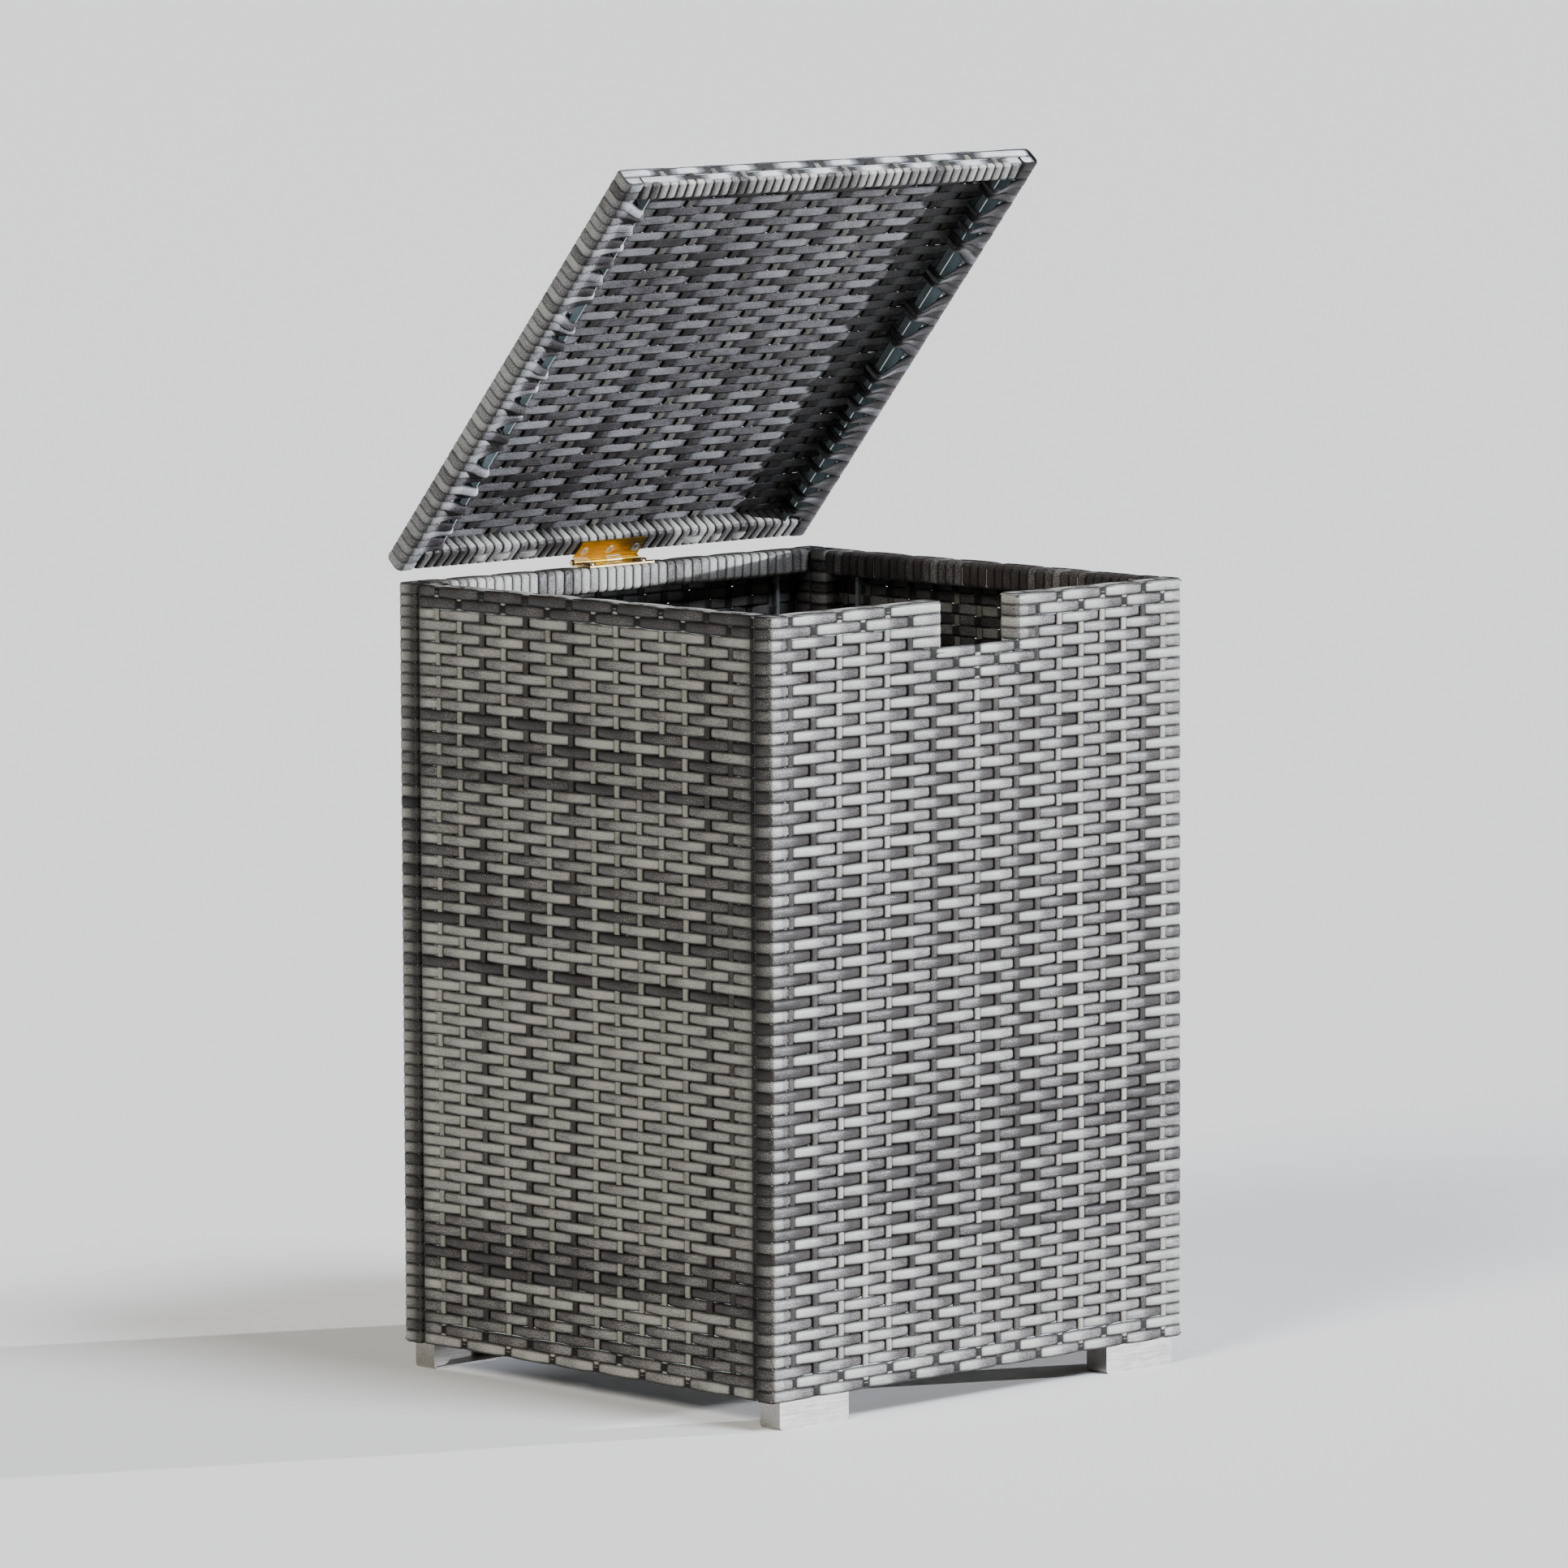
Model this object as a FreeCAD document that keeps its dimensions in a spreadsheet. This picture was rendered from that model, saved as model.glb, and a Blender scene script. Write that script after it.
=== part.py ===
import FreeCAD, Part
import Sketcher
import os

# Cover table for a gas bottle: four woven wall panels, a woven lid on one butt hinge, four feet.
# X runs along the front panel, Y from front to back, Z up.
# The origin is on the floor under the middle of the closed table, hinge included.

doc = FreeCAD.newDocument("TankCoverTable")

# Driving dimensions in millimetres and degrees, one per row of the sheet
DIMENSIONS = [
    ("boxWidth", 400.0, "width over the front and back panels"),
    ("boxDepth", 373.0, "depth over the front and back panels"),
    ("boxTop", 553.0, "height of the panels' top edge above the floor"),
    ("footHeight", 19.5, "height of the panels' bottom edge above the floor"),
    ("panelTube", 15.0, "square tube of the panel frames"),
    ("tubeWall", 1.2, "wall of all frame tubes"),
    ("strandThick", 1.4, "flat strand, one layer on the panels"),
    ("strandWide", 7.8, "one course of the weave on the panels"),
    ("coilWide", 8.2, "one turn of strand wound round a rail"),
    ("grooveWide", 1.6, "rounded-off edge between two strands"),
    ("grooveDeep", 0.6, "how far a strand's edges lie below its crown"),
    ("edgeChamfer", 1.1, "broken edges of the wound panels"),
    ("sideInset", 1.5, "side panels behind the ends of the front and back panels"),
    ("panelFit", 0.1, "gap between two panels that are bolted together"),
    ("notchWidth", 72.0, "hand notch in the front panel"),
    ("notchDepth", 34.0, "hand notch below the top edge"),
    ("rodThick", 3.0, "square stiffener rods behind the weave"),
    ("rodFromPost", 20.0, "rods from the inner side of the posts"),
    ("lidWidth", 395.0, "lid along the hinge"),
    ("lidDepth", 365.0, "lid from the hinge edge to the free edge"),
    ("lidTube", 13.2, "square section of the lid frame"),
    ("lidStrand", 1.6, "flat strand, one layer on the lid"),
    ("lidCourse", 7.4, "one course of the weave on the lid"),
    ("lidOpen", 49.3, "opening angle of the lid at rest, as photographed"),
    ("lidFin", 5.3, "inner edge of the lid's side rails, below the woven sheet"),
    ("slotPitch", 27.0, "from bunch to bunch of strands on the lid's side rails"),
    ("slotWide", 9.5, "bare channel between two bunches"),
    ("leafLength", 62.0, "hinge along the pin"),
    ("leafReach", 18.6, "hinge leaf from the pin axis to its edge"),
    ("leafThick", 1.2, "hinge leaf"),
    ("knuckleDiameter", 5.0, "outside of the hinge knuckles"),
    ("knuckleGap", 0.3, "between two knuckles"),
    ("pinDiameter", 3.0, "hinge pin"),
    ("pinHead", 5.0, "domed head of the hinge pin"),
    ("pinHeadHigh", 1.5, "height of that head"),
    ("pinBehind", 3.1, "pin axis behind the back panel's outer face"),
    ("lidSetback", 4.3, "pin axis to the lid's hinge edge"),
    ("hingeScrewRow", 9.5, "screw row from the pin axis"),
    ("hingeScrewEdge", 6.3, "outer screws from the ends of the leaf"),
    ("lowerScrewHole", 4.2, "round holes of the lower hinge leaf"),
    ("upperScrewHole", 3.8, "countersunk holes of the upper hinge leaf"),
    ("upperSinkWide", 6.2, "mouth of those countersinks"),
    ("footLength", 65.0, "foot along the front or back panel"),
    ("footWidth", 19.4, "foot across the panel"),
    ("footWall", 1.5, "sheet metal of the feet"),
    ("footRound", 3.0, "bottom corners of the feet"),
    ("footInset", 9.2, "foot from the end of its panel"),
    ("footSetback", 2.4, "foot behind the outer face of its panel"),
    ("tabLong", 15.5, "rounded tab on the open side of a foot"),
    ("tabRadius", 7.5, "round end of that tab"),
    ("pinPlay", 0.2, "play of the hinge pin in its knuckles, on the diameter"),
]

dims = doc.addObject("Spreadsheet::Sheet", "Dims")
for row, (alias, size, note) in enumerate(DIMENSIONS, start=1):
    dims.set(f"A{row}", note)
    dims.set(f"B{row}", str(size))
    dims.setAlias(f"B{row}", alias)
doc.recompute()

# Expressions that several pieces share, all in terms of the sheet
PANEL_HIGH = "(Dims.boxTop - Dims.footHeight)"
PANEL_THICK = "(Dims.panelTube + 2 * Dims.strandThick)"
LID_THICK = "(Dims.lidTube + 2 * Dims.lidStrand)"
SIDE_WIDTH = f"(Dims.boxDepth - 2 * {PANEL_THICK} - 2 * Dims.panelFit)"
KNUCKLE_RADIUS = "(Dims.knuckleDiameter / 2)"
MIDDLE_Y = f"(-(Dims.pinBehind + {KNUCKLE_RADIUS}) / 2)"
PIN_Y = f"({MIDDLE_Y} + Dims.boxDepth / 2 + Dims.pinBehind)"
PIN_Z = f"(Dims.boxTop + {KNUCKLE_RADIUS})"
OUTER_HOLE_X = "(Dims.leafLength / 2 - Dims.hingeScrewEdge)"
KNUCKLES = 4

X_AXIS = FreeCAD.Vector(1, 0, 0)
Z_AXIS = FreeCAD.Vector(0, 0, 1)
subParts = []


def number(expression):
    """Value of an expression on the sheet, as a plain number."""
    result = dims.evalExpression(expression)
    return float(getattr(result, "Value", result))


def keep(feature, label):
    """Name a finished sub-part; its label is also its file name."""
    feature.Label = label
    subParts.append(feature)
    return feature


def newBody(name):
    return doc.addObject("PartDesign::Body", name)


def originPart(body, role):
    return next(part for part in body.Origin.OriginFeatures if part.Role == role)


def rectangle(x1, y1, x2, y2):
    """Corners of a rectangle, as expressions."""
    return [(x1, y1), (x2, y1), (x2, y2), (x1, y2)]


def addSketch(body, name, plane, polygons=(), circles=(), offset="0"):
    """Sketch on an origin plane. Every corner and centre is dimensioned from the origin."""
    sketch = body.newObject("Sketcher::SketchObject", name)
    sketch.AttachmentSupport = [(originPart(body, plane), "")]
    sketch.MapMode = "FlatFace"
    sketch.setExpression("AttachmentOffset.Base.z", offset)

    def fix(kind, geometry, point, expression):
        index = sketch.addConstraint(
            Sketcher.Constraint(kind, -1, 1, geometry, point, number(expression)))
        sketch.setExpression(f"Constraints[{index}]", expression)

    for corners in polygons:
        places = [FreeCAD.Vector(number(x), number(y), 0) for x, y in corners]
        first = sketch.GeometryCount
        count = len(places)
        for i in range(count):
            sketch.addGeometry(Part.LineSegment(places[i], places[(i + 1) % count]))
        for i in range(count):
            sketch.addConstraint(
                Sketcher.Constraint("Coincident", first + i, 2, first + (i + 1) % count, 1))
            fix("DistanceX", first + i, 1, corners[i][0])
            fix("DistanceY", first + i, 1, corners[i][1])
    for x, y, diameter in circles:
        centre = FreeCAD.Vector(number(x), number(y), 0)
        geometry = sketch.addGeometry(Part.Circle(centre, Z_AXIS, number(diameter) / 2))
        fix("DistanceX", geometry, 3, x)
        fix("DistanceY", geometry, 3, y)
        index = sketch.addConstraint(
            Sketcher.Constraint("Diameter", geometry, number(diameter)))
        sketch.setExpression(f"Constraints[{index}]", diameter)
    return sketch


def addPad(body, sketch, length, against=False, midplane=False):
    """Pad along the sketch's normal, or against it."""
    pad = body.newObject("PartDesign::Pad", sketch.Name + "Pad")
    pad.Profile = sketch
    pad.setExpression("Length", length)
    pad.Reversed = against
    pad.Midplane = midplane
    return pad


def addPocket(body, sketch, length=None, along=False):
    """Pocket against the sketch's normal, or along it; without a length it goes right through."""
    pocket = body.newObject("PartDesign::Pocket", sketch.Name + "Pocket")
    pocket.Profile = sketch
    pocket.Reversed = along
    if length is None:
        pocket.Type = "ThroughAll"
        pocket.Midplane = True
    else:
        pocket.setExpression("Length", length)
    doc.recompute()
    return pocket


def addRow(body, feature, axis, pitch, count):
    """Repeat a feature along an axis of the body."""
    row = body.newObject("PartDesign::LinearPattern", feature.Name + "Row")
    row.Originals = [feature]
    row.Direction = (originPart(body, axis), [""])
    row.setExpression("Length", f"({pitch}) * ({count} - 1)")
    row.setExpression("Occurrences", count)
    body.Tip = row
    doc.recompute()
    return row


def edgesAlong(shape, test):
    """Names of the straight edges whose two ends both pass the test."""
    names = []
    for index, edge in enumerate(shape.Edges, start=1):
        if len(edge.Vertexes) == 2 and all(test(v.Point) for v in edge.Vertexes):
            names.append(f"Edge{index}")
    return names


def addDressUp(body, kind, base, edges, size):
    """Chamfer or fillet on the named edges of the feature before it."""
    feature = body.newObject(f"PartDesign::{kind}", base.Name + kind)
    feature.Base = (base, edges)
    feature.setExpression("Size" if kind == "Chamfer" else "Radius", size)
    body.Tip = feature
    doc.recompute()
    return feature


def place(feature, x="0", y="0", z="0", axis=Z_AXIS, angle=0.0):
    """Put a sub-part where it belongs; its position stays bound to the sheet."""
    feature.Placement = FreeCAD.Placement(
        FreeCAD.Vector(number(x), number(y), number(z)), FreeCAD.Rotation(axis, angle))
    feature.setExpression("Placement.Base.x", x)
    feature.setExpression("Placement.Base.y", y)
    feature.setExpression("Placement.Base.z", z)


class WovenFrame:
    """A tube frame with its woven sheet and wound rails, as the walls and the lid have.

    Its outer face lies in the plane named; depth counts from that face into the panel.
    low and high are its two edges across the courses of the weave.
    """

    def __init__(self, name, plane, width, low, high, tube, strand, course, face="0", notch=False):
        self.name = name
        self.plane = plane
        self.width = width
        self.low = low
        self.high = high
        self.tube = tube
        self.strand = strand
        self.course = course
        self.face = face
        self.notch = notch
        self.thick = f"({tube} + 2 * {strand})"
        self.rows = f"floor(({high} - {low}) / {course})"
        self.pitch = f"(({high} - {low}) / {self.rows})"

    def offset(self, depth):
        """Sketch offset along the plane's normal for a depth under the outer face."""
        return f"{self.face} - ({depth})"

    def outline(self, inset):
        """Outline of the panel, drawn in by an inset all round, the notch included."""
        side = f"({self.width} / 2 - {inset})"
        low = f"({self.low} + {inset})"
        high = f"({self.high} - {inset})"
        corners = [(f"-{side}", low), (side, low), (side, high), (f"-{side}", high)]
        if self.notch:
            jamb = f"(Dims.notchWidth / 2 + {inset})"
            sill = f"(Dims.boxTop - Dims.notchDepth - {inset})"
            corners[3:3] = [(jamb, high), (jamb, sill), (f"-{jamb}", sill), (f"-{jamb}", high)]
        return corners

    def across(self, along, depth):
        """Point of a section square to the courses, as a YZ sketch takes it."""
        if self.plane == "XZ_Plane":
            return (depth, along)
        return (along, f"({self.face} - ({depth}))")

    def ring(self, body, name, outer, inner, depth):
        return addSketch(body, name, self.plane, [self.outline(outer), self.outline(inner)],
                         offset=self.offset(depth))

    def makeFrame(self):
        """Welded frame of square tube, hollow inside."""
        body = newBody(self.name + "Frame")
        strand, tube = self.strand, self.tube
        inner = f"({strand} + {tube})"
        sketch = self.ring(body, "tubeOutside", strand, inner, strand)
        addPad(body, sketch, tube, against=True)
        bore = self.ring(body, "tubeBore", f"({strand} + Dims.tubeWall)",
                         f"({inner} - Dims.tubeWall)", f"{strand} + Dims.tubeWall")
        addPocket(body, bore, f"{tube} - 2 * Dims.tubeWall")
        return body

    def makeSheet(self):
        """Woven sheet: one strand thick over the frame, two in the field between its tubes."""
        body = newBody(self.name + "Sheet")
        strand = self.strand
        cover = addSketch(body, "cover", self.plane, [self.outline("0")], offset=self.offset("0"))
        coverPad = addPad(body, cover, strand, against=True)
        doc.recompute()
        front = number(self.face)

        def onRim(point):
            depth = point.y if self.plane == "XZ_Plane" else front - point.z
            return abs(depth) < 1e-6

        addDressUp(body, "Chamfer", coverPad, edgesAlong(coverPad.Shape, onRim), "Dims.edgeChamfer")
        field = addSketch(body, "field", self.plane, [self.outline(self.thick)],
                          offset=self.offset(strand))
        addPad(body, field, strand, against=True)
        self.addCourses(body, "courses", "0", "Dims.grooveDeep")
        return body

    def addCourses(self, body, name, depth, deep):
        """Grooves between the courses; deep is negative on the inner side of the sheet."""
        first = f"({self.low} + {self.pitch})"
        half = "Dims.grooveWide / 2"
        sketch = addSketch(body, name, "YZ_Plane", [[
            self.across(f"{first} - {half}", depth),
            self.across(f"{first} + {half}", depth),
            self.across(first, f"{depth} + {deep}")]])
        groove = addPocket(body, sketch)
        axis = "Z_Axis" if self.plane == "XZ_Plane" else "Y_Axis"
        addRow(body, groove, axis, self.pitch, f"({self.rows} - 1)")

    def makeWindings(self):
        """Strands wound round every rail and post, as one sleeve that the tubes lie in."""
        body = newBody(self.name + "Windings")
        strand, tube = self.strand, self.tube
        sleeve = self.ring(body, "sleeve", "0", self.thick, strand)
        sleevePad = addPad(body, sleeve, f"{tube} + {strand}", against=True)
        doc.recompute()
        back = number(self.thick)
        front = number(self.face)
        half = number(self.width) / 2

        def onOuterBackEdge(point):
            depth = point.y if self.plane == "XZ_Plane" else front - point.z
            along = point.z if self.plane == "XZ_Plane" else point.y
            onSide = abs(abs(point.x) - half) < 1e-6
            onEnd = min(abs(along - number(self.low)), abs(along - number(self.high))) < 1e-6
            return abs(depth - back) < 1e-6 and (onSide or onEnd)

        addDressUp(body, "Chamfer", sleevePad, edgesAlong(sleevePad.Shape, onOuterBackEdge),
                   "Dims.edgeChamfer")
        channel = self.ring(body, "channel", strand, f"({strand} + {tube})", strand)
        addPocket(body, channel, tube)
        return body

    def addCoils(self, body, name, width, corners, plane, offset, length):
        """Grooves between the turns of a wound rail, along X over a given width."""
        count = f"floor({width} / Dims.coilWide)"
        first = f"(-{width} / 2 + Dims.coilWide)"
        half = "Dims.grooveWide / 2"
        edge, bottom = corners
        sketch = addSketch(body, name, plane, [[
            (f"{first} - {half}", edge), (f"{first} + {half}", edge), (first, bottom)]],
            offset=offset)
        groove = addPocket(body, sketch, length)
        addRow(body, groove, "X_Axis", "Dims.coilWide", f"({count} - 1)")


def addHoles(body, name, plane, holes, offset="0", length=None, along=False):
    """Round holes, each given by its centre and its diameter."""
    sketch = addSketch(body, name, plane, circles=holes, offset=offset)
    return addPocket(body, sketch, length, along)


def makeWall(name, width, x, y, angle, wrapsEnds, notch=False):
    """One wall panel: frame, woven sheet, wound rails and stiffener rods."""
    wall = WovenFrame(name, "XZ_Plane", width, "Dims.footHeight", "Dims.boxTop",
                      "Dims.panelTube", "Dims.strandThick", "Dims.strandWide", notch=notch)
    frame = wall.makeFrame()
    windings = wall.makeWindings()
    sheet = wall.makeSheet()
    if wrapsEnds:
        addEndCourses(wall, windings)
    if name == "back":
        # the rail that carries the hinge is wound all the way round, one turn beside the other
        between = f"({width} - 2 * {PANEL_THICK})"
        wall.addCoils(windings, "innerTurns", between,
                      (PANEL_THICK, f"{PANEL_THICK} - Dims.grooveDeep"),
                      "XY_Plane", "Dims.boxTop", PANEL_THICK)
        wall.addCoils(windings, "topTurns", between,
                      ("Dims.boxTop", "Dims.boxTop - Dims.grooveDeep"), "XZ_Plane",
                      f"-({PANEL_THICK})", f"{PANEL_THICK} - Dims.strandThick")

    labels = {frame: "frame", windings: "rim_wrap", sheet: "woven_sheet",
              makeRods(name, width): "stiffener_rods"}
    for feature, label in labels.items():
        place(feature, x, y, "0", Z_AXIS, angle)
        keep(feature, f"{name}_{label}")


def addEndCourses(wall, windings):
    """The courses of the front and back panels run on round their end posts."""
    half = f"({wall.width} / 2)"
    first = f"({wall.low} + {wall.pitch})"
    below = f"{first} - Dims.grooveWide / 2"
    above = f"{first} + Dims.grooveWide / 2"
    grooves = addSketch(windings, "endCourses", "XZ_Plane", [
        [(f"-{half}", below), (f"-{half} + Dims.grooveDeep", first), (f"-{half}", above)],
        [(half, below), (half, above), (f"{half} - Dims.grooveDeep", first)]],
        offset=f"-({wall.thick})")
    addRow(windings, addPocket(windings, grooves, wall.thick, along=True), "Z_Axis",
           wall.pitch, f"({wall.rows} - 1)")


def makeRods(name, width):
    """Two square rods that stand behind the weave, from the bottom rail to the top rail."""
    rods = []
    for side in (-1, 1):
        rod = doc.addObject("Part::Box", f"{name}Rod")
        rod.setExpression("Length", "Dims.rodThick")
        rod.setExpression("Width", "Dims.rodThick")
        rod.setExpression("Height", f"{PANEL_HIGH} - 2 * {PANEL_THICK}")
        place(rod, f"{side} * ({width} / 2 - {PANEL_THICK} - Dims.rodFromPost) - Dims.rodThick / 2",
              "2 * Dims.strandThick", f"Dims.footHeight + {PANEL_THICK}")
        rods.append(rod)
    pair = doc.addObject("Part::Compound", f"{name}Rods")
    pair.Links = rods
    return pair


def placeOnHinge(feature):
    """The lid's pieces are drawn closed, with the pin axis along X through their origin."""
    place(feature, "0", PIN_Y, PIN_Z, X_AXIS, -number("Dims.lidOpen"))


def makeLid():
    """Lid: frame with open side channels, woven sheet, and the wound rails one by one."""
    low = "(-Dims.lidSetback - Dims.lidDepth)"
    high = "(-Dims.lidSetback)"
    under = KNUCKLE_RADIUS
    lid = WovenFrame("lid", "XY_Plane", "Dims.lidWidth", low, high, "Dims.lidTube",
                     "Dims.lidStrand", "Dims.lidCourse", face=f"({under} + {LID_THICK})")
    frame = lid.makeFrame()
    sheet = lid.makeSheet()
    windings = lid.makeWindings()
    half = "(Dims.lidWidth / 2)"
    inside = "(Dims.lidStrand + Dims.lidTube)"

    # the side rails are open channels: a full outer wall, and a low fin beside the sheet
    nearWall = "(Dims.lidStrand + Dims.tubeWall)"
    finDepth = "(2 * Dims.lidStrand + Dims.lidFin)"
    mouths = addSketch(frame, "channelMouths", "XY_Plane", [
        rectangle(f"{side} * ({half} - {nearWall})", f"{low} + {inside}",
                  f"{side} * ({half} - {LID_THICK})", f"{high} - {inside}") for side in (-1, 1)],
        offset=f"{under} + Dims.lidStrand")
    addPocket(frame, mouths, f"{LID_THICK} - Dims.lidStrand - {finDepth}", along=True)

    # the courses of the weave show on the under side of the sheet too
    lid.addCourses(sheet, "underCourses", "2 * Dims.lidStrand", "(-Dims.grooveDeep)")

    # turns of the hinge rail and the free rail, seen from below
    lid.addCoils(windings, "underTurns", f"(Dims.lidWidth - 2 * {LID_THICK})",
                 (under, f"{under} + Dims.grooveDeep"), "XZ_Plane", f"-({low})",
                 "Dims.lidDepth")

    # the hinge rail and the free rail are one sub-part each
    for zone, y in (("hinge", f"{high} - {LID_THICK}"), ("free", low)):
        block = doc.addObject("Part::Box", f"{zone}Zone")
        block.setExpression("Length", "Dims.lidWidth")
        block.setExpression("Width", LID_THICK)
        block.setExpression("Height", LID_THICK)
        place(block, f"-{half}", y, under)
        rail = doc.addObject("Part::Common", f"{zone}Rail")
        rail.Base = windings
        rail.Tool = block
        placeOnHinge(rail)
        keep(rail, f"lid_{zone}_rail_wrap")

    # on a side rail the strands run down the outer wall, round its lip and over to the fin
    lip = f"({nearWall} + Dims.lidStrand)"
    wallEnd = "(Dims.lidStrand + Dims.lidTube)"
    outline = [("0", "Dims.lidStrand"), ("0", f"({LID_THICK} - Dims.edgeChamfer)"),
               ("Dims.edgeChamfer", LID_THICK), (lip, LID_THICK),
               (LID_THICK, f"({finDepth} + Dims.lidStrand)"), (LID_THICK, "Dims.lidStrand"),
               (inside, "Dims.lidStrand"), (inside, finDepth),
               (f"({inside} - Dims.tubeWall)", finDepth), (nearWall, wallEnd),
               ("Dims.lidStrand", wallEnd), ("Dims.lidStrand", "Dims.lidStrand")]
    between = f"(Dims.lidDepth - 2 * {LID_THICK})"
    start = f"({low} + {LID_THICK} + Dims.slotPitch - Dims.slotWide)"
    for side, zone in ((-1, "left"), (1, "right")):
        body = newBody(f"{zone}RailStrands")
        section = addSketch(body, "section", "XZ_Plane", [
            [(f"{side} * ({half} - {across})", f"{lid.face} - {depth}")
             for across, depth in outline]], offset=f"-({low} + {LID_THICK})")
        addPad(body, section, between, against=True)
        # they lie in bunches, with the channel bare between them
        slot = addSketch(body, "bareChannel", "XY_Plane", [
            rectangle(f"{side} * ({half} - {lip})", start,
                      f"{side} * ({half} - {LID_THICK})", f"{start} + Dims.slotWide")],
            offset=under)
        pocket = addPocket(body, slot, f"{LID_THICK} - Dims.lidStrand", along=True)
        addRow(body, pocket, "Y_Axis", "Dims.slotPitch", f"floor({between} / Dims.slotPitch)")
        placeOnHinge(body)
        keep(body, f"lid_{zone}_rail_wrap")

    placeOnHinge(frame)
    keep(frame, "lid_frame")
    placeOnHinge(sheet)
    keep(sheet, "lid_woven_sheet")


def makeLeaf(name, side, ownKnuckles):
    """Hinge leaf with rolled knuckles; side is -1 for the lower leaf, 1 for the upper one."""
    body = newBody(name)
    flat = f"({side} * {KNUCKLE_RADIUS})"
    inside = f"({side} * ({KNUCKLE_RADIUS} - Dims.leafThick))"
    plate = addSketch(body, "plate", "YZ_Plane", [rectangle("-Dims.leafReach", flat, "0", inside)])
    addPad(body, plate, "Dims.leafLength", midplane=True)
    roll = addSketch(body, "roll", "YZ_Plane", circles=[("0", "0", "Dims.knuckleDiameter")])
    addPad(body, roll, "Dims.leafLength", midplane=True)
    knuckle = f"(Dims.leafLength / {KNUCKLES})"
    clear = f"({KNUCKLE_RADIUS} + Dims.knuckleGap)"
    for index in range(KNUCKLES):
        if index not in ownKnuckles:
            start = f"(-Dims.leafLength / 2 + {index} * {knuckle} - Dims.knuckleGap / 2)"
            gap = addSketch(body, f"gap{index}", "YZ_Plane", [
                rectangle(f"-{clear}", f"-{clear}", clear, clear)], offset=start)
            addPocket(body, gap, f"{knuckle} + Dims.knuckleGap", along=True)
    addHoles(body, "pinBore", "YZ_Plane", [("0", "0", "Dims.pinDiameter + Dims.pinPlay")])
    return body


def makeHinge():
    """Butt hinge: two leaves on one pin."""
    lower = makeLeaf("LowerLeaf", -1, (0, 2))
    addHoles(lower, "lowerHoles", "XY_Plane",
             [(f"{side} * {OUTER_HOLE_X}", "-Dims.hingeScrewRow", "Dims.lowerScrewHole")
              for side in (-1, 1)])
    place(lower, "0", PIN_Y, PIN_Z)
    keep(lower, "hinge_lower_leaf")

    upper = makeLeaf("UpperLeaf", 1, (1, 3))
    holes = addHoles(upper, "upperHoles", "XY_Plane",
                     [(f"{side} * {OUTER_HOLE_X}", "-Dims.hingeScrewRow", "Dims.upperScrewHole")
                      for side in (-1, 0, 1)])
    inside = number(f"{KNUCKLE_RADIUS} - Dims.leafThick")
    rims = [f"Edge{index}" for index, edge in enumerate(upper.Shape.Edges, start=1)
            if isinstance(edge.Curve, Part.Circle) and abs(edge.Curve.Axis.z) > 0.5
            and abs(edge.Curve.Center.z - inside) < 1e-6]
    addDressUp(upper, "Chamfer", holes, rims,
               "min((Dims.upperSinkWide - Dims.upperScrewHole) / 2; 0.95 * Dims.leafThick)")
    placeOnHinge(upper)
    keep(upper, "hinge_upper_leaf")

    # the pin has a domed head on its left end
    pin = newBody("Pin")
    radius = "(Dims.pinDiameter / 2)"
    half = "(Dims.leafLength / 2)"
    profile = addSketch(pin, "profile", "XZ_Plane", [[
        (f"-{half} - Dims.pinHeadHigh", "0"), (half, "0"), (half, radius),
        (f"-{half}", radius), (f"-{half}", "Dims.pinHead / 2"),
        (f"-{half} - Dims.pinHeadHigh", "0.6 * Dims.pinHead / 2")]])
    turned = pin.newObject("PartDesign::Revolution", "turned")
    turned.Profile = profile
    turned.ReferenceAxis = (originPart(pin, "X_Axis"), [""])
    turned.Angle = 360.0
    place(pin, "0", PIN_Y, PIN_Z)
    keep(pin, "hinge_pin")


def makeFoot(label, sideX, sideY):
    """Folded shoe under one corner, open towards the middle of the box, with a rounded tab.

    It is drawn from its outer end; sideX and sideY point from the middle to its corner.
    """
    body = newBody(label)
    inwards = -sideX
    wall = "Dims.footWall"
    length = f"{inwards} * Dims.footLength"
    block = addSketch(body, "block", "XZ_Plane", [rectangle("0", "0", length, "Dims.footHeight")])
    blockPad = addPad(body, block, "Dims.footWidth", against=sideY < 0)
    doc.recompute()
    lowEnds = [name for name in edgesAlong(blockPad.Shape, lambda point: abs(point.z) < 1e-6)
               if abs(blockPad.Shape.getElement(name).tangentAt(0).y) > 0.9]
    addDressUp(body, "Fillet", blockPad, lowEnds, "Dims.footRound")
    openSide = f"{sideY} * Dims.footWidth"
    hollow = addSketch(body, "hollow", "XZ_Plane", [
        rectangle(f"{inwards} * {wall}", wall,
                  f"{inwards} * (Dims.footLength - {wall})", f"Dims.footHeight - {wall}")],
        offset=openSide)
    addPocket(body, hollow, f"Dims.footWidth - {wall}", along=sideY < 0)
    middle = "(Dims.footHeight / 2)"
    straight = "(Dims.tabLong - Dims.tabRadius)"
    strip = addSketch(body, "tabStrip", "XZ_Plane", [
        rectangle("0", f"{middle} - Dims.tabRadius",
                  f"{inwards} * {straight}", f"{middle} + Dims.tabRadius")], offset=openSide)
    addPad(body, strip, wall, against=sideY > 0)
    disc = addSketch(body, "tabRound", "XZ_Plane",
                     circles=[(f"{inwards} * {straight}", middle, "2 * Dims.tabRadius")],
                     offset=openSide)
    addPad(body, disc, wall, against=sideY > 0)
    place(body, f"{sideX} * (Dims.boxWidth / 2 - Dims.footInset)",
          f"{MIDDLE_Y} + {sideY} * (Dims.boxDepth / 2 - Dims.footSetback)")
    keep(body, label)


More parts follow.
